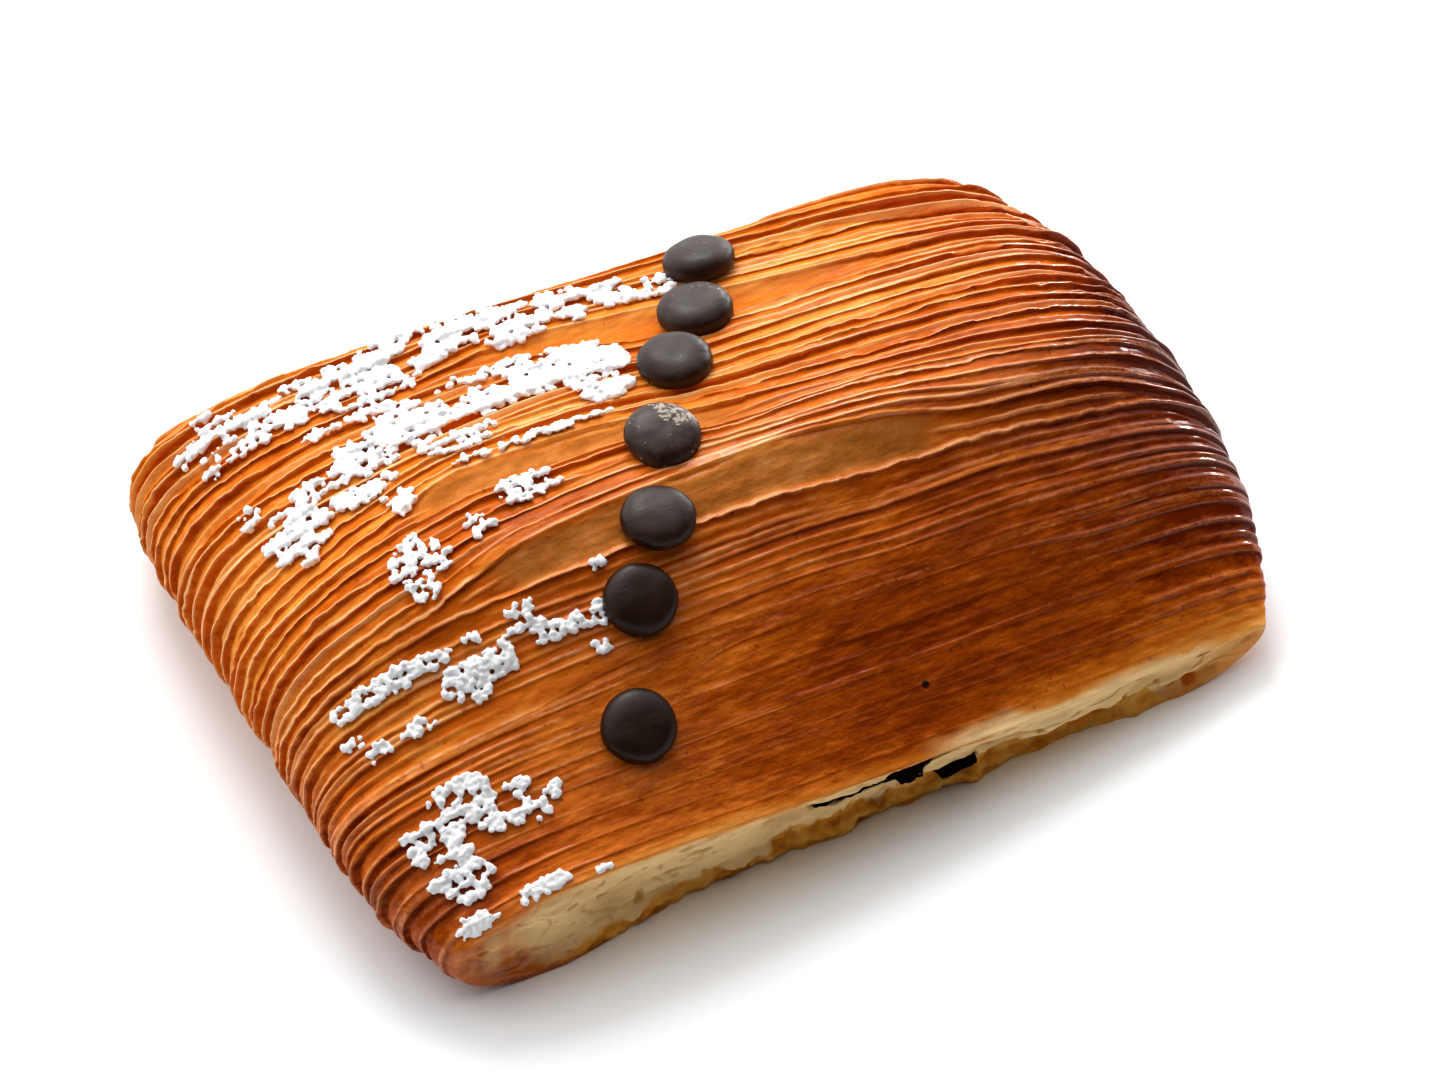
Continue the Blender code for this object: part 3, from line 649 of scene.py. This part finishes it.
def wallFoot(column):
    # the line on the floor under a column of the skin, no further out than its own feet
    left, right = column[0], column[-1]
    foot = column.copy()
    foot[:, 2] = 0
    foot = np.where((foot[:, 0] < left[0])[:, None], left * (1, 1, 0), foot)
    return np.where((foot[:, 0] > right[0])[:, None], right * (1, 1, 0), foot)


def crustPiece(name, first, last, material):
    # a ring of columns: the skin, with a wall down to the floor on each sliced side, then the base
    final = wholeGrid.shape[0] - 1
    chosen = [first] * (first > 0) + list(range(first, last + 1)) + [last] * (last < final)
    chosen.append(chosen[0])
    grid = wholeGrid[chosen]
    if first > 0:
        grid[0] = wallFoot(wholeGrid[first])
    if last < final:
        grid[-2] = wallFoot(wholeGrid[last])
    grid[-1] = grid[0]
    across, rows = len(chosen) - 1, wholeGrid.shape[1] - 1
    bm = bmesh.new()
    bmesh.ops.create_grid(bm, x_segments=across, y_segments=rows, size=0.5)
    order = np.array([(round((v.co.x + 0.5) * across), round((v.co.y + 0.5) * rows)) for v in bm.verts])
    piece = makePiece(name, bm, material)
    mesh = piece.data
    movePoints(mesh, grid[order[:, 0], order[:, 1]])
    facts = {key: values[chosen][order[:, 0], order[:, 1]] for key, values in wholeFacts.items()}
    facts["brown"] = spotted(browning, facts["along"], facts["across"]) + facts.pop("tone")
    facts["shine"] = spotted(shine, facts["along"], facts["across"])
    for key, values in facts.items():
        addAttribute(mesh, key, values)
    bm = bmesh.new()
    bm.from_mesh(mesh)
    bm.verts.ensure_lookup_table()
    column = order[:, 0]
    flat = [across - 1] + [0] * (first > 0) + [across - 2] * (last < final)
    for face in bm.faces:
        face.smooth = min(column[vert.index] for vert in face.verts) not in flat
    for edge in bm.edges:
        edge.smooth = all(face.smooth for face in edge.link_faces)
    bmesh.ops.remove_doubles(bm, verts=bm.verts, dist=0.01 * mm)
    rim = [edge for edge in bm.edges if edge.is_boundary]
    for edge in rim:
        edge.smooth = False
    for face in bmesh.ops.holes_fill(bm, edges=rim, sides=0)["faces"]:
        face.smooth = False
    bmesh.ops.recalc_face_normals(bm, faces=bm.faces)
    bm.to_mesh(mesh)
    bm.free()
    return piece


# Material building: a small kit for node trees
class Tree:
    def __init__(self, name):
        self.material = bpy.data.materials.new(name)
        self.material.use_nodes = True
        self.nodes, self.links = self.material.node_tree.nodes, self.material.node_tree.links
        self.shader = self.nodes["Principled BSDF"]

    def put(self, socket, value):
        if isinstance(value, bpy.types.NodeSocket):
            self.links.new(value, socket)
        elif isinstance(value, tuple) and len(value) == 3 and socket.type == "RGBA":
            socket.default_value = (*value, 1)
        else:
            socket.default_value = value

    def math(self, kind, a, b=0.0, clamp=False):
        node = self.nodes.new("ShaderNodeMath")
        node.operation, node.use_clamp = kind, clamp
        self.put(node.inputs[0], a)
        self.put(node.inputs[1], b)
        return node.outputs[0]

    def attribute(self, name):
        node = self.nodes.new("ShaderNodeAttribute")
        node.attribute_name = name
        return node.outputs["Fac"]

    def noise(self, vector, scale, detail=4.0, roughness=0.55):
        node = self.nodes.new("ShaderNodeTexNoise")
        self.put(node.inputs["Vector"], vector)
        node.inputs["Scale"].default_value = scale
        node.inputs["Detail"].default_value = detail
        node.inputs["Roughness"].default_value = roughness
        return node.outputs["Fac"]

    def place(self, scale=(1, 1, 1)):
        coords = self.nodes.new("ShaderNodeTexCoord")
        node = self.nodes.new("ShaderNodeMapping")
        node.inputs["Scale"].default_value = scale
        self.links.new(coords.outputs["Object"], node.inputs["Vector"])
        return node.outputs["Vector"]

    def distance(self, point):
        node = self.nodes.new("ShaderNodeVectorMath")
        node.operation = "DISTANCE"
        self.put(node.inputs[0], self.place())
        node.inputs[1].default_value = point
        return node.outputs["Value"]

    def colours(self, value, stops):
        node = self.nodes.new("ShaderNodeValToRGB")
        elements = node.color_ramp.elements
        while len(elements) < len(stops):
            elements.new(0.5)
        for element, (at, colour) in zip(elements, stops):
            element.position, element.color = at, (*colour, 1)
        self.put(node.inputs["Fac"], value)
        return node.outputs["Color"]

    def mix(self, share, a, b):
        node = self.nodes.new("ShaderNodeMix")
        node.data_type = "RGBA"
        self.put(node.inputs["Factor"], share)
        self.put(node.inputs[6], a)
        self.put(node.inputs[7], b)
        return node.outputs[2]

    def range(self, value, low, high, toLow=0.0, toHigh=1.0):
        node = self.nodes.new("ShaderNodeMapRange")
        self.put(node.inputs["Value"], value)
        for key, number in (("From Min", low), ("From Max", high), ("To Min", toLow), ("To Max", toHigh)):
            node.inputs[key].default_value = number
        return node.outputs["Result"]

    def bump(self, height, distance, strength=1.0, before=None):
        node = self.nodes.new("ShaderNodeBump")
        node.inputs["Distance"].default_value = distance
        node.inputs["Strength"].default_value = strength
        self.put(node.inputs["Height"], height)
        if before is not None:
            self.put(node.inputs["Normal"], before)
        return node.outputs["Normal"]

    def set(self, **values):
        for key, value in values.items():
            self.put(self.shader.inputs[key.replace("_", " ")], value)


crustLook = {
    "faces": (
        (0.0, (0.84, 0.46, 0.14)),
        (0.25, (0.79, 0.30, 0.05)),
        (0.5, (0.62, 0.150, 0.010)),
        (0.75, (0.36, 0.060, 0.002)),
        (1.0, (0.21, 0.026, 0.001)),
    ),
    # paler crest lips: partly the leaf's own paler edge, partly painted light on the crest tops
    "lips": (
        (0.0, (0.84, 0.53, 0.25)),
        (0.25, (0.79, 0.41, 0.17)),
        (0.5, (0.69, 0.28, 0.11)),
        (0.75, (0.45, 0.13, 0.025)),
        (1.0, (0.34, 0.09, 0.025)),
    ),
    "channels": (
        (0.0, (0.84, 0.33, 0.04)),
        (0.25, (0.74, 0.210, 0.018)),
        (0.5, (0.54, 0.090, 0.002)),
        (0.75, (0.30, 0.040, 0.0006)),
        (1.0, (0.11, 0.009, 0.0002)),
    ),
    "gapTones": ((0.3, (0.60, 0.21, 0.05)), (0.5, (0.44, 0.135, 0.022)), (0.7, (0.33, 0.09, 0.010))),
    "crumbPale": (0.95, 0.63, 0.29),
    # painted shade: the crumb's colour in its pores and creases
    "crumbDeep": (0.62, 0.28, 0.06),
    "base": ((0.3, (0.92, 0.50, 0.10)), (0.5, (0.76, 0.29, 0.03)), (0.68, (0.33, 0.085, 0.008))),
    "broad": 0.07,  # how much each pattern darkens and lightens
    "blotches": 0.12,
    "streaks": 0.09,
    "dashes": 0.1,
    "burntSpeck": (10.5 * mm, -41.6 * mm, 17.0 * mm),
    "burnt": (0.012, 0.005, 0.003),
    "coatRoughness": 0.1,
}


def makeCrustMaterial():
    look = crustLook
    tree = Tree("bakedCrust")
    brown, valley, gapFloor = (tree.attribute(key) for key in ("brown", "valley", "gapFloor"))
    crumb, lip, baked, glaze = (tree.attribute(key) for key in ("crumb", "lip", "baked", "shine"))

    # browning, with the patterns that break it up
    broad = tree.noise(tree.place(), 70, 3)
    blotches = tree.noise(tree.place((170, 600, 420)), 1, 4, 0.6)
    streaks = tree.noise(tree.place((60, 1100, 800)), 1, 4, 0.6)
    fine = tree.noise(tree.place(), 1500, 3, 0.6)
    tone = brown
    for pattern, much in ((broad, look["broad"]), (blotches, look["blotches"]), (streaks, look["streaks"])):
        tone = tree.math("ADD", tone, tree.range(pattern, 0.3, 0.7, -much, much))
    dashes = tree.noise(tree.place((300, 1500, 1200)), 1, 3, 0.6)
    dashes = tree.range(dashes, 0.35, 0.65, look["dashes"], -look["dashes"])
    dashes = tree.math("MULTIPLY", dashes, tree.range(brown, 0.35, 0.8, 0.15, 1.0))
    tone = tree.math("ADD", tone, dashes)
    pits = tree.range(tree.noise(tree.place(), 900, 2), 0.68, 0.74)
    tone = tree.math("ADD", tone, tree.math("MULTIPLY", pits, 0.2))
    # painted shade: darker where the channels are deepest, along the line under each crest and in the crumb's
    # hollows
    tone = tree.math("ADD", tone, tree.range(valley, 0.7, 1.0, 0.0, 0.08), clamp=True)

    # faces, channels and lips; the lips' paler colour is partly their own, partly painted light on the crest
    # tops
    channels, lips = tree.colours(tone, look["channels"]), tree.colours(tone, look["lips"])
    colour = tree.colours(tone, look["faces"])
    colour = tree.mix(tree.math("MULTIPLY", valley, 0.9, clamp=True), colour, channels)
    dotted = tree.math("MULTIPLY", tree.range(fine, 0.54, 0.4), tree.range(brown, 0.5, 0.8))
    lipShare = tree.math("MULTIPLY", lip, tree.math("SUBTRACT", 1.0, dotted), clamp=True)
    # painted light, in part: the crests' lips made paler
    colour = tree.mix(lipShare, colour, lips)
    specks = tree.range(tree.noise(tree.place((800, 1500, 1200)), 1, 2), 0.68, 0.74, 0.0, 0.5)
    colour = tree.mix(specks, colour, lips)
    speck = tree.range(tree.distance(look["burntSpeck"]), 0.45 * mm, 0.65 * mm, 1.0, 0.0)
    colour = tree.mix(speck, colour, look["burnt"])

    # the gaps' floors, and the crumb and base of the cut sides
    gapNoise = tree.noise(tree.place((200, 330, 330)), 1, 5, 0.65)
    colour = tree.mix(gapFloor, colour, tree.colours(gapNoise, look["gapTones"]))
    # painted shade: the crumb darker in its pores and creases
    crumbTone = tree.mix(valley, look["crumbPale"], look["crumbDeep"])
    baseNoise = tree.noise(tree.place((260, 260, 420)), 1, 4)
    baseNoise = tree.math("ADD", baseNoise, tree.range(brown, 0.1, 0.7, -0.16, 0.14))
    colour = tree.mix(crumb, colour, tree.mix(baked, crumbTone, tree.colours(baseNoise, look["base"])))

    # matte in the gaps and on the crumb, glazed where "shine" says
    dull = tree.math("MAXIMUM", gapFloor, crumb)
    rough = tree.math("ADD", tree.range(fine, 0.3, 0.7, 0.36, 0.52), tree.math("MULTIPLY", valley, 0.15))
    rough = tree.math("ADD", rough, tree.math("MULTIPLY", dull, 0.5), clamp=True)
    normal = tree.bump(streaks, 0.12 * mm, 0.6)
    pimples = tree.noise(tree.place(), 750, 2, 0.5)
    pimples = tree.math("MULTIPLY", pimples, tree.range(brown, 0.35, 0.8, 0.25, 1.0))
    normal = tree.bump(pimples, 0.3 * mm, 0.6, normal)
    crackle = tree.noise(tree.place((420, 1300, 1000)), 1, 3, 0.6)
    crackle = tree.math("MULTIPLY", crackle, tree.range(brown, 0.4, 0.8, 0.1, 1.0))
    normal = tree.bump(crackle, 0.3 * mm, 0.55, normal)
    normal = tree.bump(fine, 0.1 * mm, 0.7, normal)
    coat = tree.math("MULTIPLY", tree.math("SUBTRACT", 1.0, dull, clamp=True), glaze)
    coat = tree.math("MULTIPLY", coat, tree.range(valley, 0, 1, 1.0, 0.1), clamp=True)
    tree.set(Base_Color=colour, Roughness=rough, Normal=normal, Coat_Weight=coat)
    tree.shader.inputs["Coat Roughness"].default_value = look["coatRoughness"]
    tree.shader.inputs["Specular IOR Level"].default_value = 0.0
    return tree.material


crustMaterial = makeCrustMaterial()

# Slices: each starts at the crest that is nearest to an even split
sliceCount = 7
lastColumn = wholeGrid.shape[0] - 1
crestColumns = cuts["steps"] + np.flatnonzero(ridgeColumns()[1] == 0)
even = np.linspace(0, lastColumn, sliceCount + 1)
inner = [int(crestColumns[np.abs(crestColumns - at).argmin()]) for at in even[1:-1]]
starts = [0, *inner, lastColumn]
crustPieces = []
for k, (first, last) in enumerate(zip(starts, starts[1:])):
    piece = crustPiece(f"crustSlice{k + 1}", first, last, crustMaterial)
    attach(piece, "root")
    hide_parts("pastry")
    crustPieces.append(piece)
print("crust made:", sum(len(piece.data.polygons) for piece in crustPieces), "faces")


# Sugar: patches as start and end along, start and end across, lumps to a square centimetre
sugar = {
    "patches": (
        (0.06, 0.12, 0.045, 0.085, 90), (0.07, 0.15, 0.09, 0.14, 90), (0.11, 0.165, 0.14, 0.175, 90),
        (0.155, 0.195, 0.13, 0.15, 70), (0.165, 0.20, 0.095, 0.12, 60), (0.20, 0.225, 0.11, 0.13, 50),
        (0.065, 0.085, 0.135, 0.147, 60), (0.04, 0.085, 0.004, 0.025, 80), (0.095, 0.17, 0.004, 0.022, 80),
        (0.195, 0.21, 0.002, 0.008, 80), (0.08, 0.20, 0.312, 0.335, 90), (0.18, 0.235, 0.28, 0.305, 90),
        (0.175, 0.21, 0.26, 0.30, 70), (0.20, 0.245, 0.275, 0.30, 80), (0.235, 0.29, 0.29, 0.32, 90),
        (0.25, 0.275, 0.33, 0.345, 80), (0.21, 0.225, 0.32, 0.335, 60), (0.295, 0.325, 0.285, 0.315, 80),
        (0.30, 0.315, 0.25, 0.27, 70), (0.075, 0.095, 0.275, 0.295, 50), (0.09, 0.11, 0.245, 0.27, 50),
        (0.125, 0.155, 0.25, 0.268, 70), (0.19, 0.24, 0.40, 0.485, 60), (0.265, 0.285, 0.44, 0.485, 60),
        (0.30, 0.345, 0.48, 0.53, 80), (0.33, 0.345, 0.345, 0.355, 60), (0.12, 0.175, 0.56, 0.66, 110),
        (0.155, 0.19, 0.64, 0.68, 90), (0.11, 0.13, 0.66, 0.69, 60), (0.18, 0.24, 0.60, 0.66, 80),
        (0.20, 0.30, 0.655, 0.73, 90), (0.26, 0.46, 0.70, 0.785, 120), (0.27, 0.33, 0.63, 0.67, 80),
        (0.22, 0.245, 0.545, 0.60, 70), (0.30, 0.42, 0.593, 0.61, 70), (0.41, 0.46, 0.635, 0.79, 110),
        (0.10, 0.17, 0.80, 0.90, 50), (0.16, 0.34, 0.82, 0.90, 100), (0.25, 0.50, 0.84, 0.92, 110),
        (0.50, 0.57, 0.83, 0.87, 60), (0.20, 0.30, 0.765, 0.785, 60), (0.20, 0.30, 0.80, 0.82, 60),
    ),
    "lump": 0.48 * mm,
    "spread": (0.6, 1.4),
    "wide": (0.85, 1.25),
    "tall": (0.6, 0.9),
    "raised": 0.2,
    "bridge": 0.6 * mm,
    "density": 4.0,
    "voxel": 0.17 * mm,
    "crumbs": 0.5 * mm,
    "crumbly": 0.12 * mm,
    "kept": 0.5,  # share of the faces
    "crustSize": (15.5, 10.5),  # centimetres along and across
    "seed": 7,
}


def scatterSugar():
    # lumps over the crests inside the patches, gathered where the noise is high; they bridge the channels
    draw = np.random.default_rng(sugar["seed"])
    along, across, valley = skinFacts["along"], skinFacts["across"], skinFacts["valley"]
    closed = skinFacts["gapFloor"] < 0.1
    length, width = sugar["crustSize"]
    spots = []
    for startAlong, endAlong, startAcross, endAcross, density in sugar["patches"]:
        middleAlong, halfAlong = (startAlong + endAlong) / 2, (endAlong - startAlong) / 2
        middleAcross, halfAcross = (startAcross + endAcross) / 2, (endAcross - startAcross) / 2
        reach = ((along - middleAlong) / (halfAlong * 1.1)) ** 2
        reach = reach + ((across - middleAcross) / (halfAcross * 1.15)) ** 2
        wobble = roughNoise(along * 50, across * 34, 71, 2)
        onCrest = draw.random(reach.shape) > 0.6 * valley
        chosen = np.argwhere((reach < 1 + 0.6 * wobble) & closed & (wobble > -0.6) & onCrest)
        area = 2 * halfAlong * length * 2 * halfAcross * width * 0.8  # square centimetres, near enough
        count = min(len(chosen), int(area * density * sugar["density"]) + 2)
        spots += [tuple(spot) for spot in chosen[draw.permutation(len(chosen))[:count]]]
    return draw, spots


def makeSugarMaterial():
    tree = Tree("bakedSugar")
    grain = tree.noise(tree.place(), 2600, 3)
    patch = tree.noise(tree.place(), 240, 2)
    colour = tree.colours(patch, ((0.3, (0.80, 0.80, 0.82)), (0.7, (0.92, 0.92, 0.93))))
    tree.set(Base_Color=colour, Roughness=0.7, Normal=tree.bump(grain, 0.08 * mm, 0.7))
    tree.shader.inputs["Subsurface Weight"].default_value = 0.15
    tree.shader.inputs["Subsurface Radius"].default_value = (0.5 * mm, 0.45 * mm, 0.4 * mm)
    tree.shader.inputs["Subsurface Scale"].default_value = 1.0
    return tree.material


def roughen(mesh, pitch, much):
    # moves every point along its normal by a smooth noise
    points, normals = readPoints(mesh), readPoints(mesh, "normal")
    x, y, z = points.T / pitch
    wave = softNoise(x + 0.6 * z, y - 0.4 * z, 51) + 0.6 * softNoise(2.1 * x - z, 2.1 * y + z, 57)
    movePoints(mesh, points + normals * (wave * much)[:, None])


def remeshPiece(piece, voxel, smoothings):
    remesh = piece.modifiers.new("Gather", "REMESH")
    remesh.mode, remesh.voxel_size, remesh.use_smooth_shade = "VOXEL", voxel, True
    soften = piece.modifiers.new("Soften", "SMOOTH")
    soften.factor, soften.iterations = 0.5, smoothings
    applyModifiers(piece)


def makeSugar():
    draw, spots = scatterSugar()
    smooth = lookUp(tables[1], skinFacts["along"], skinFacts["across"])
    bm = bmesh.new()
    for i, j in spots:
        size = sugar["lump"] * draw.uniform(*sugar["spread"])
        up = Vector(smooth[i, j]).normalized()
        turn = Vector((0, 0, 1)).rotation_difference(up).to_matrix().to_4x4()
        wide, deep, tall = (size * draw.uniform(*sugar[key]) for key in ("wide", "wide", "tall"))
        rise = size * sugar["raised"] + sugar["bridge"] * skinFacts["valley"][i, j]
        spot = Vector(skin[i, j]) + up * rise
        place = Matrix.Translation(spot) @ turn @ Matrix.Diagonal((wide, deep, tall, 1))
        bmesh.ops.create_icosphere(bm, subdivisions=1, radius=1, matrix=place)
    piece = makePiece("sugarCrust", bm)
    remeshPiece(piece, sugar["voxel"], 1)
    roughen(piece.data, sugar["crumbs"], sugar["crumbly"])
    piece.modifiers.new("Thin", "DECIMATE").ratio = sugar["kept"]
    applyModifiers(piece)
    piece.data.materials.append(makeSugarMaterial())
    print("sugar:", len(spots), "lumps,", len(piece.data.polygons), "faces")
    return piece


sugarPiece = makeSugar()
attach(sugarPiece, "root")


def makeChocolate(name, pale, dark, roughness, gloss):
    tree = Tree(name)
    bloom, deep = tree.attribute("bloom"), tree.attribute("deep")
    cloud = tree.noise(tree.place(), 420, 4)
    speck = tree.noise(tree.place(), 1400, 3)
    haze = tree.noise(tree.place(), 300, 5, 0.65)
    colour = tree.colours(cloud, ((0.35, dark), (0.75, pale)))
    hazy = tree.math("MULTIPLY", tree.range(haze, 0.45, 0.75, 0.0, 0.3), bloom)
    colour = tree.mix(hazy, colour, (0.20, 0.16, 0.14))
    dusty = tree.math("ADD", speck, tree.math("MULTIPLY", bloom, 0.1))
    colour = tree.mix(tree.range(dusty, 0.73, 0.78, 0.0, 0.7), colour, (0.50, 0.42, 0.33))
    # painted shade: a button darkened by its deep value
    colour = tree.mix(tree.math("MULTIPLY", deep, 0.7), colour, dark)
    rough = tree.range(cloud, 0.3, 0.7, roughness - 0.06, roughness + 0.1)
    scratches = tree.noise(tree.place((300, 1600, 900)), 1, 2)
    normal = tree.bump(scratches, 0.06 * mm, 0.5, tree.bump(speck, 0.05 * mm, 0.5))
    tree.set(Base_Color=colour, Roughness=rough, Normal=normal)
    tree.shader.inputs["Specular IOR Level"].default_value = gloss
    return tree.material


buttonMaterial = makeChocolate("buttonChocolate", (0.027, 0.010, 0.005), (0.012, 0.0035, 0.001), 0.4, 0.2)
fillingMaterial = makeChocolate("meltedChocolate", (0.006, 0.003, 0.002), (0.002, 0.001, 0.0008), 0.6, 0.0)


def drawBack(mesh):
    # behind the crumb wherever that covers it in the near cut
    points = readPoints(mesh)
    apart = outlineDistance(filling["outlines"], points[:, 0] / mm, points[:, 2] / mm)
    front = 1 - ramp(points[:, 1] - points[:, 1].min(), 2 * mm, filling["coveredFrom"])
    points[:, 1] += filling["covered"] * ramp(apart, -0.1, 0.3) * front
    movePoints(mesh, points)


def makeFilling():
    # the solid's own shape, remeshed finely and made uneven
    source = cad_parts["chocolate_filling"].data
    bm = bmesh.new()
    bm.from_mesh(source)
    bmesh.ops.remove_doubles(bm, verts=bm.verts, dist=0.01 * mm)
    piece = makePiece("meltedFilling", bm)
    remeshPiece(piece, filling["voxel"], 2)
    roughen(piece.data, filling["waves"], filling["unevenness"])
    drawBack(piece.data)
    piece.data.materials.clear()
    piece.data.materials.append(fillingMaterial)
    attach(piece, "root")
    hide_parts("chocolate_filling")
    print("filling:", len(piece.data.polygons), "faces")


makeFilling()

# Buttons, as the solids have them: place along and across, diameter, pressed in, lean to near side and right
buttons = {
    "placed": (
        (0.595, 0.864, 10.0, 0.9, -20, -1),
        (0.549, 0.750, 10.4, 0.9, -10, -1),
        (0.497, 0.645, 10.2, 0.9, -7, 1),
        (0.443, 0.499, 10.2, 0.9, 6, 3),
        (0.403, 0.374, 9.9, 1.7, 6, 1),
        (0.357, 0.294, 9.8, 0.9, 33, -4),
        (0.307, 0.155, 10.0, 0.9, 31, -3),
    ),
    "thickness": 3.9 * mm,
    "edge": 0.45,  # share of the thickness under the widest line
    "rounding": (0.6, 0.5),  # powers of the outline, across and down
    "profileSteps": 16,  # over the top, and again underneath
    "turnSteps": 80,
    "waves": 3.4 * mm,
    "unevenness": 0.12 * mm,
    "bloom": (0.5, 1.0, 0.4, 2.2, 0.4, 0.1, 0.1),  # how much pale bloom each one has
    "bloomFrom": (0.72, 0.52, 0.46),  # the side where it is strongest
    "deep": (0.0, 0.0, 0.0, 0.1, 0.0, 0.6, 0.9),  # how much darker each one is: painted shade, most on the sixth and seventh on the steep flap
}


def buttonOutline(diameter):
    # half a section, from the top's middle to the bottom's
    across, down = buttons["rounding"]
    outline = []
    steps = buttons["profileSteps"]
    for step in range(2 * steps + 1):
        radius = math.sin(math.pi / 2 * step / steps) if step < 2 * steps else 0
        angle = math.asin(min(max(radius, 0) ** (1 / across), 1))
        over = (1 - buttons["edge"]) * math.cos(angle)
        rise = over if step < steps else -buttons["edge"] * math.cos(angle) ** down
        outline.append(Vector((diameter / 2 * radius, 0, buttons["thickness"] * rise)))
    return outline


def makeButton(number, along, across, diameter, pressed, leanNear, leanRight):
    bm = bmesh.new()
    outline = [bm.verts.new(point) for point in buttonOutline(diameter * mm)]
    edges = [bm.edges.new(pair) for pair in zip(outline, outline[1:])]
    turns = {"axis": (0, 0, 1), "cent": (0, 0, 0), "angle": math.tau, "steps": buttons["turnSteps"]}
    bmesh.ops.spin(bm, geom=outline + edges, use_merge=True, **turns)
    bmesh.ops.remove_doubles(bm, verts=bm.verts, dist=0.005 * mm)
    for vert in bm.verts:
        x, y, z = vert.co / buttons["waves"]
        wave = float(roughNoise(np.array(x + number * 3.31), np.array(y + z + 0.37), 90, 2))
        vert.co += vert.co.normalized() * wave * buttons["unevenness"]
    bmesh.ops.recalc_face_normals(bm, faces=bm.faces)
    spot = Vector(lookUp(tables[0], np.array(along), np.array(across)))
    axis = Vector((math.tan(math.radians(leanRight)), -math.tan(math.radians(leanNear)), 1)).normalized()
    turn = Vector((0, 0, 1)).rotation_difference(axis).to_matrix().to_4x4()
    spot += axis * (buttons["thickness"] / 2 - pressed * mm)
    bmesh.ops.transform(bm, matrix=Matrix.Translation(spot) @ turn, verts=bm.verts)
    for face in bm.faces:
        face.smooth = True
    piece = makePiece(f"chocolateButton{number}", bm, buttonMaterial)
    mesh, pale = piece.data, Vector(buttons["bloomFrom"])
    towards = np.array([pale.dot((vert.co - spot).normalized()) for vert in mesh.vertices])
    addAttribute(mesh, "bloom", buttons["bloom"][number - 1] * (0.3 + 0.7 * ramp(towards, 0.45, 0.85)))
    addAttribute(mesh, "deep", np.full(len(mesh.vertices), buttons["deep"][number - 1]))
    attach(piece, "root")
    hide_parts(f"chocolate_button_{number}")


for number, values in enumerate(buttons["placed"], 1):
    makeButton(number, *values)
print("buttons made:", len(buttons["placed"]))


# The camera stands where the photograph was taken from
camera = {
    "elevation": math.radians(47.094),
    "turn": math.radians(27.745),
    "distance": 806 * mm,
    "pixelsToMillimetre": 7.477,
    "target": (-1.86 * mm, -7.20 * mm, 18 * mm),
    "imageWidth": 1440,
    "sensor": 36,
}


def makeCamera():
    data = bpy.data.cameras.new("photoCamera")
    data.sensor_width = camera["sensor"]
    imageLength = camera["pixelsToMillimetre"] * camera["distance"] / mm
    data.lens = imageLength * camera["sensor"] / camera["imageWidth"]
    data.clip_start, data.clip_end = 0.01, 10
    eye = bpy.data.objects.new("photoCamera", data)
    bpy.context.scene.collection.objects.link(eye)
    e, a = camera["elevation"], camera["turn"]
    look = Vector((math.sin(a) * math.cos(e), math.cos(a) * math.cos(e), -math.sin(e)))
    eye.location = Vector(camera["target"]) - look * camera["distance"]
    eye.rotation_euler = look.to_track_quat("-Z", "Y").to_euler()
    bpy.context.scene.camera = eye


# Lamps: place in metres, size and power. The window is the bright part of the studio, behind the pastry.
lamps = {
    "key": ((0.2, 0.95, 1.0), 0.6, 11),
    "glint": ((1.0, 0.95, 0.22), 0.2, 4),
    "edge": ((1.25, 0.6, 0.12), 0.22, 5),
}
window = {
    "towards": (0.0, 0.85, 0.5),
    "from": -0.05,  # cosine to that direction, where it starts and is full
    "full": 0.9,
    "strength": 2.35,
    "elsewhere": 0.03,
}


def makeLamp(name, spot, size, power):
    data = bpy.data.lights.new(name, "AREA")
    data.shape, data.size, data.energy = "SQUARE", size, power
    lamp = bpy.data.objects.new(name, data)
    bpy.context.scene.collection.objects.link(lamp)
    lamp.location = spot
    lamp.rotation_euler = (-Vector(spot)).to_track_quat("-Z", "Y").to_euler()


def makeWindow():
    world = bpy.data.worlds.new("studio")
    world.use_nodes = True
    nodes, links = world.node_tree.nodes, world.node_tree.links
    coords, dot = nodes.new("ShaderNodeTexCoord"), nodes.new("ShaderNodeVectorMath")
    spread = nodes.new("ShaderNodeMapRange")
    dot.operation, spread.interpolation_type = "DOT_PRODUCT", "SMOOTHSTEP"
    dot.inputs[1].default_value = Vector(window["towards"]).normalized()
    sockets = {"From Min": "from", "From Max": "full", "To Min": "elsewhere", "To Max": "strength"}
    for socket, value in sockets.items():
        spread.inputs[socket].default_value = window[value]
    links.new(coords.outputs["Generated"], dot.inputs[0])
    links.new(dot.outputs["Value"], spread.inputs["Value"])
    links.new(spread.outputs["Result"], nodes["Background"].inputs["Strength"])
    nodes["Background"].inputs["Color"].default_value = (1, 1, 1, 1)
    bpy.context.scene.world = world


def makeFloor():
    tree = Tree("paleFloor")
    tree.set(Base_Color=(0.90, 0.92, 0.93), Roughness=0.9)
    bm = bmesh.new()
    bmesh.ops.create_grid(bm, x_segments=1, y_segments=1, size=2)
    floor = makePiece("floor", bm, tree.material)


makeCamera()
for name, (spot, size, power) in lamps.items():
    makeLamp(name, spot, size, power)
makeWindow()
makeFloor()
bpy.context.scene.view_settings.view_transform = "Standard"
print("studio made")
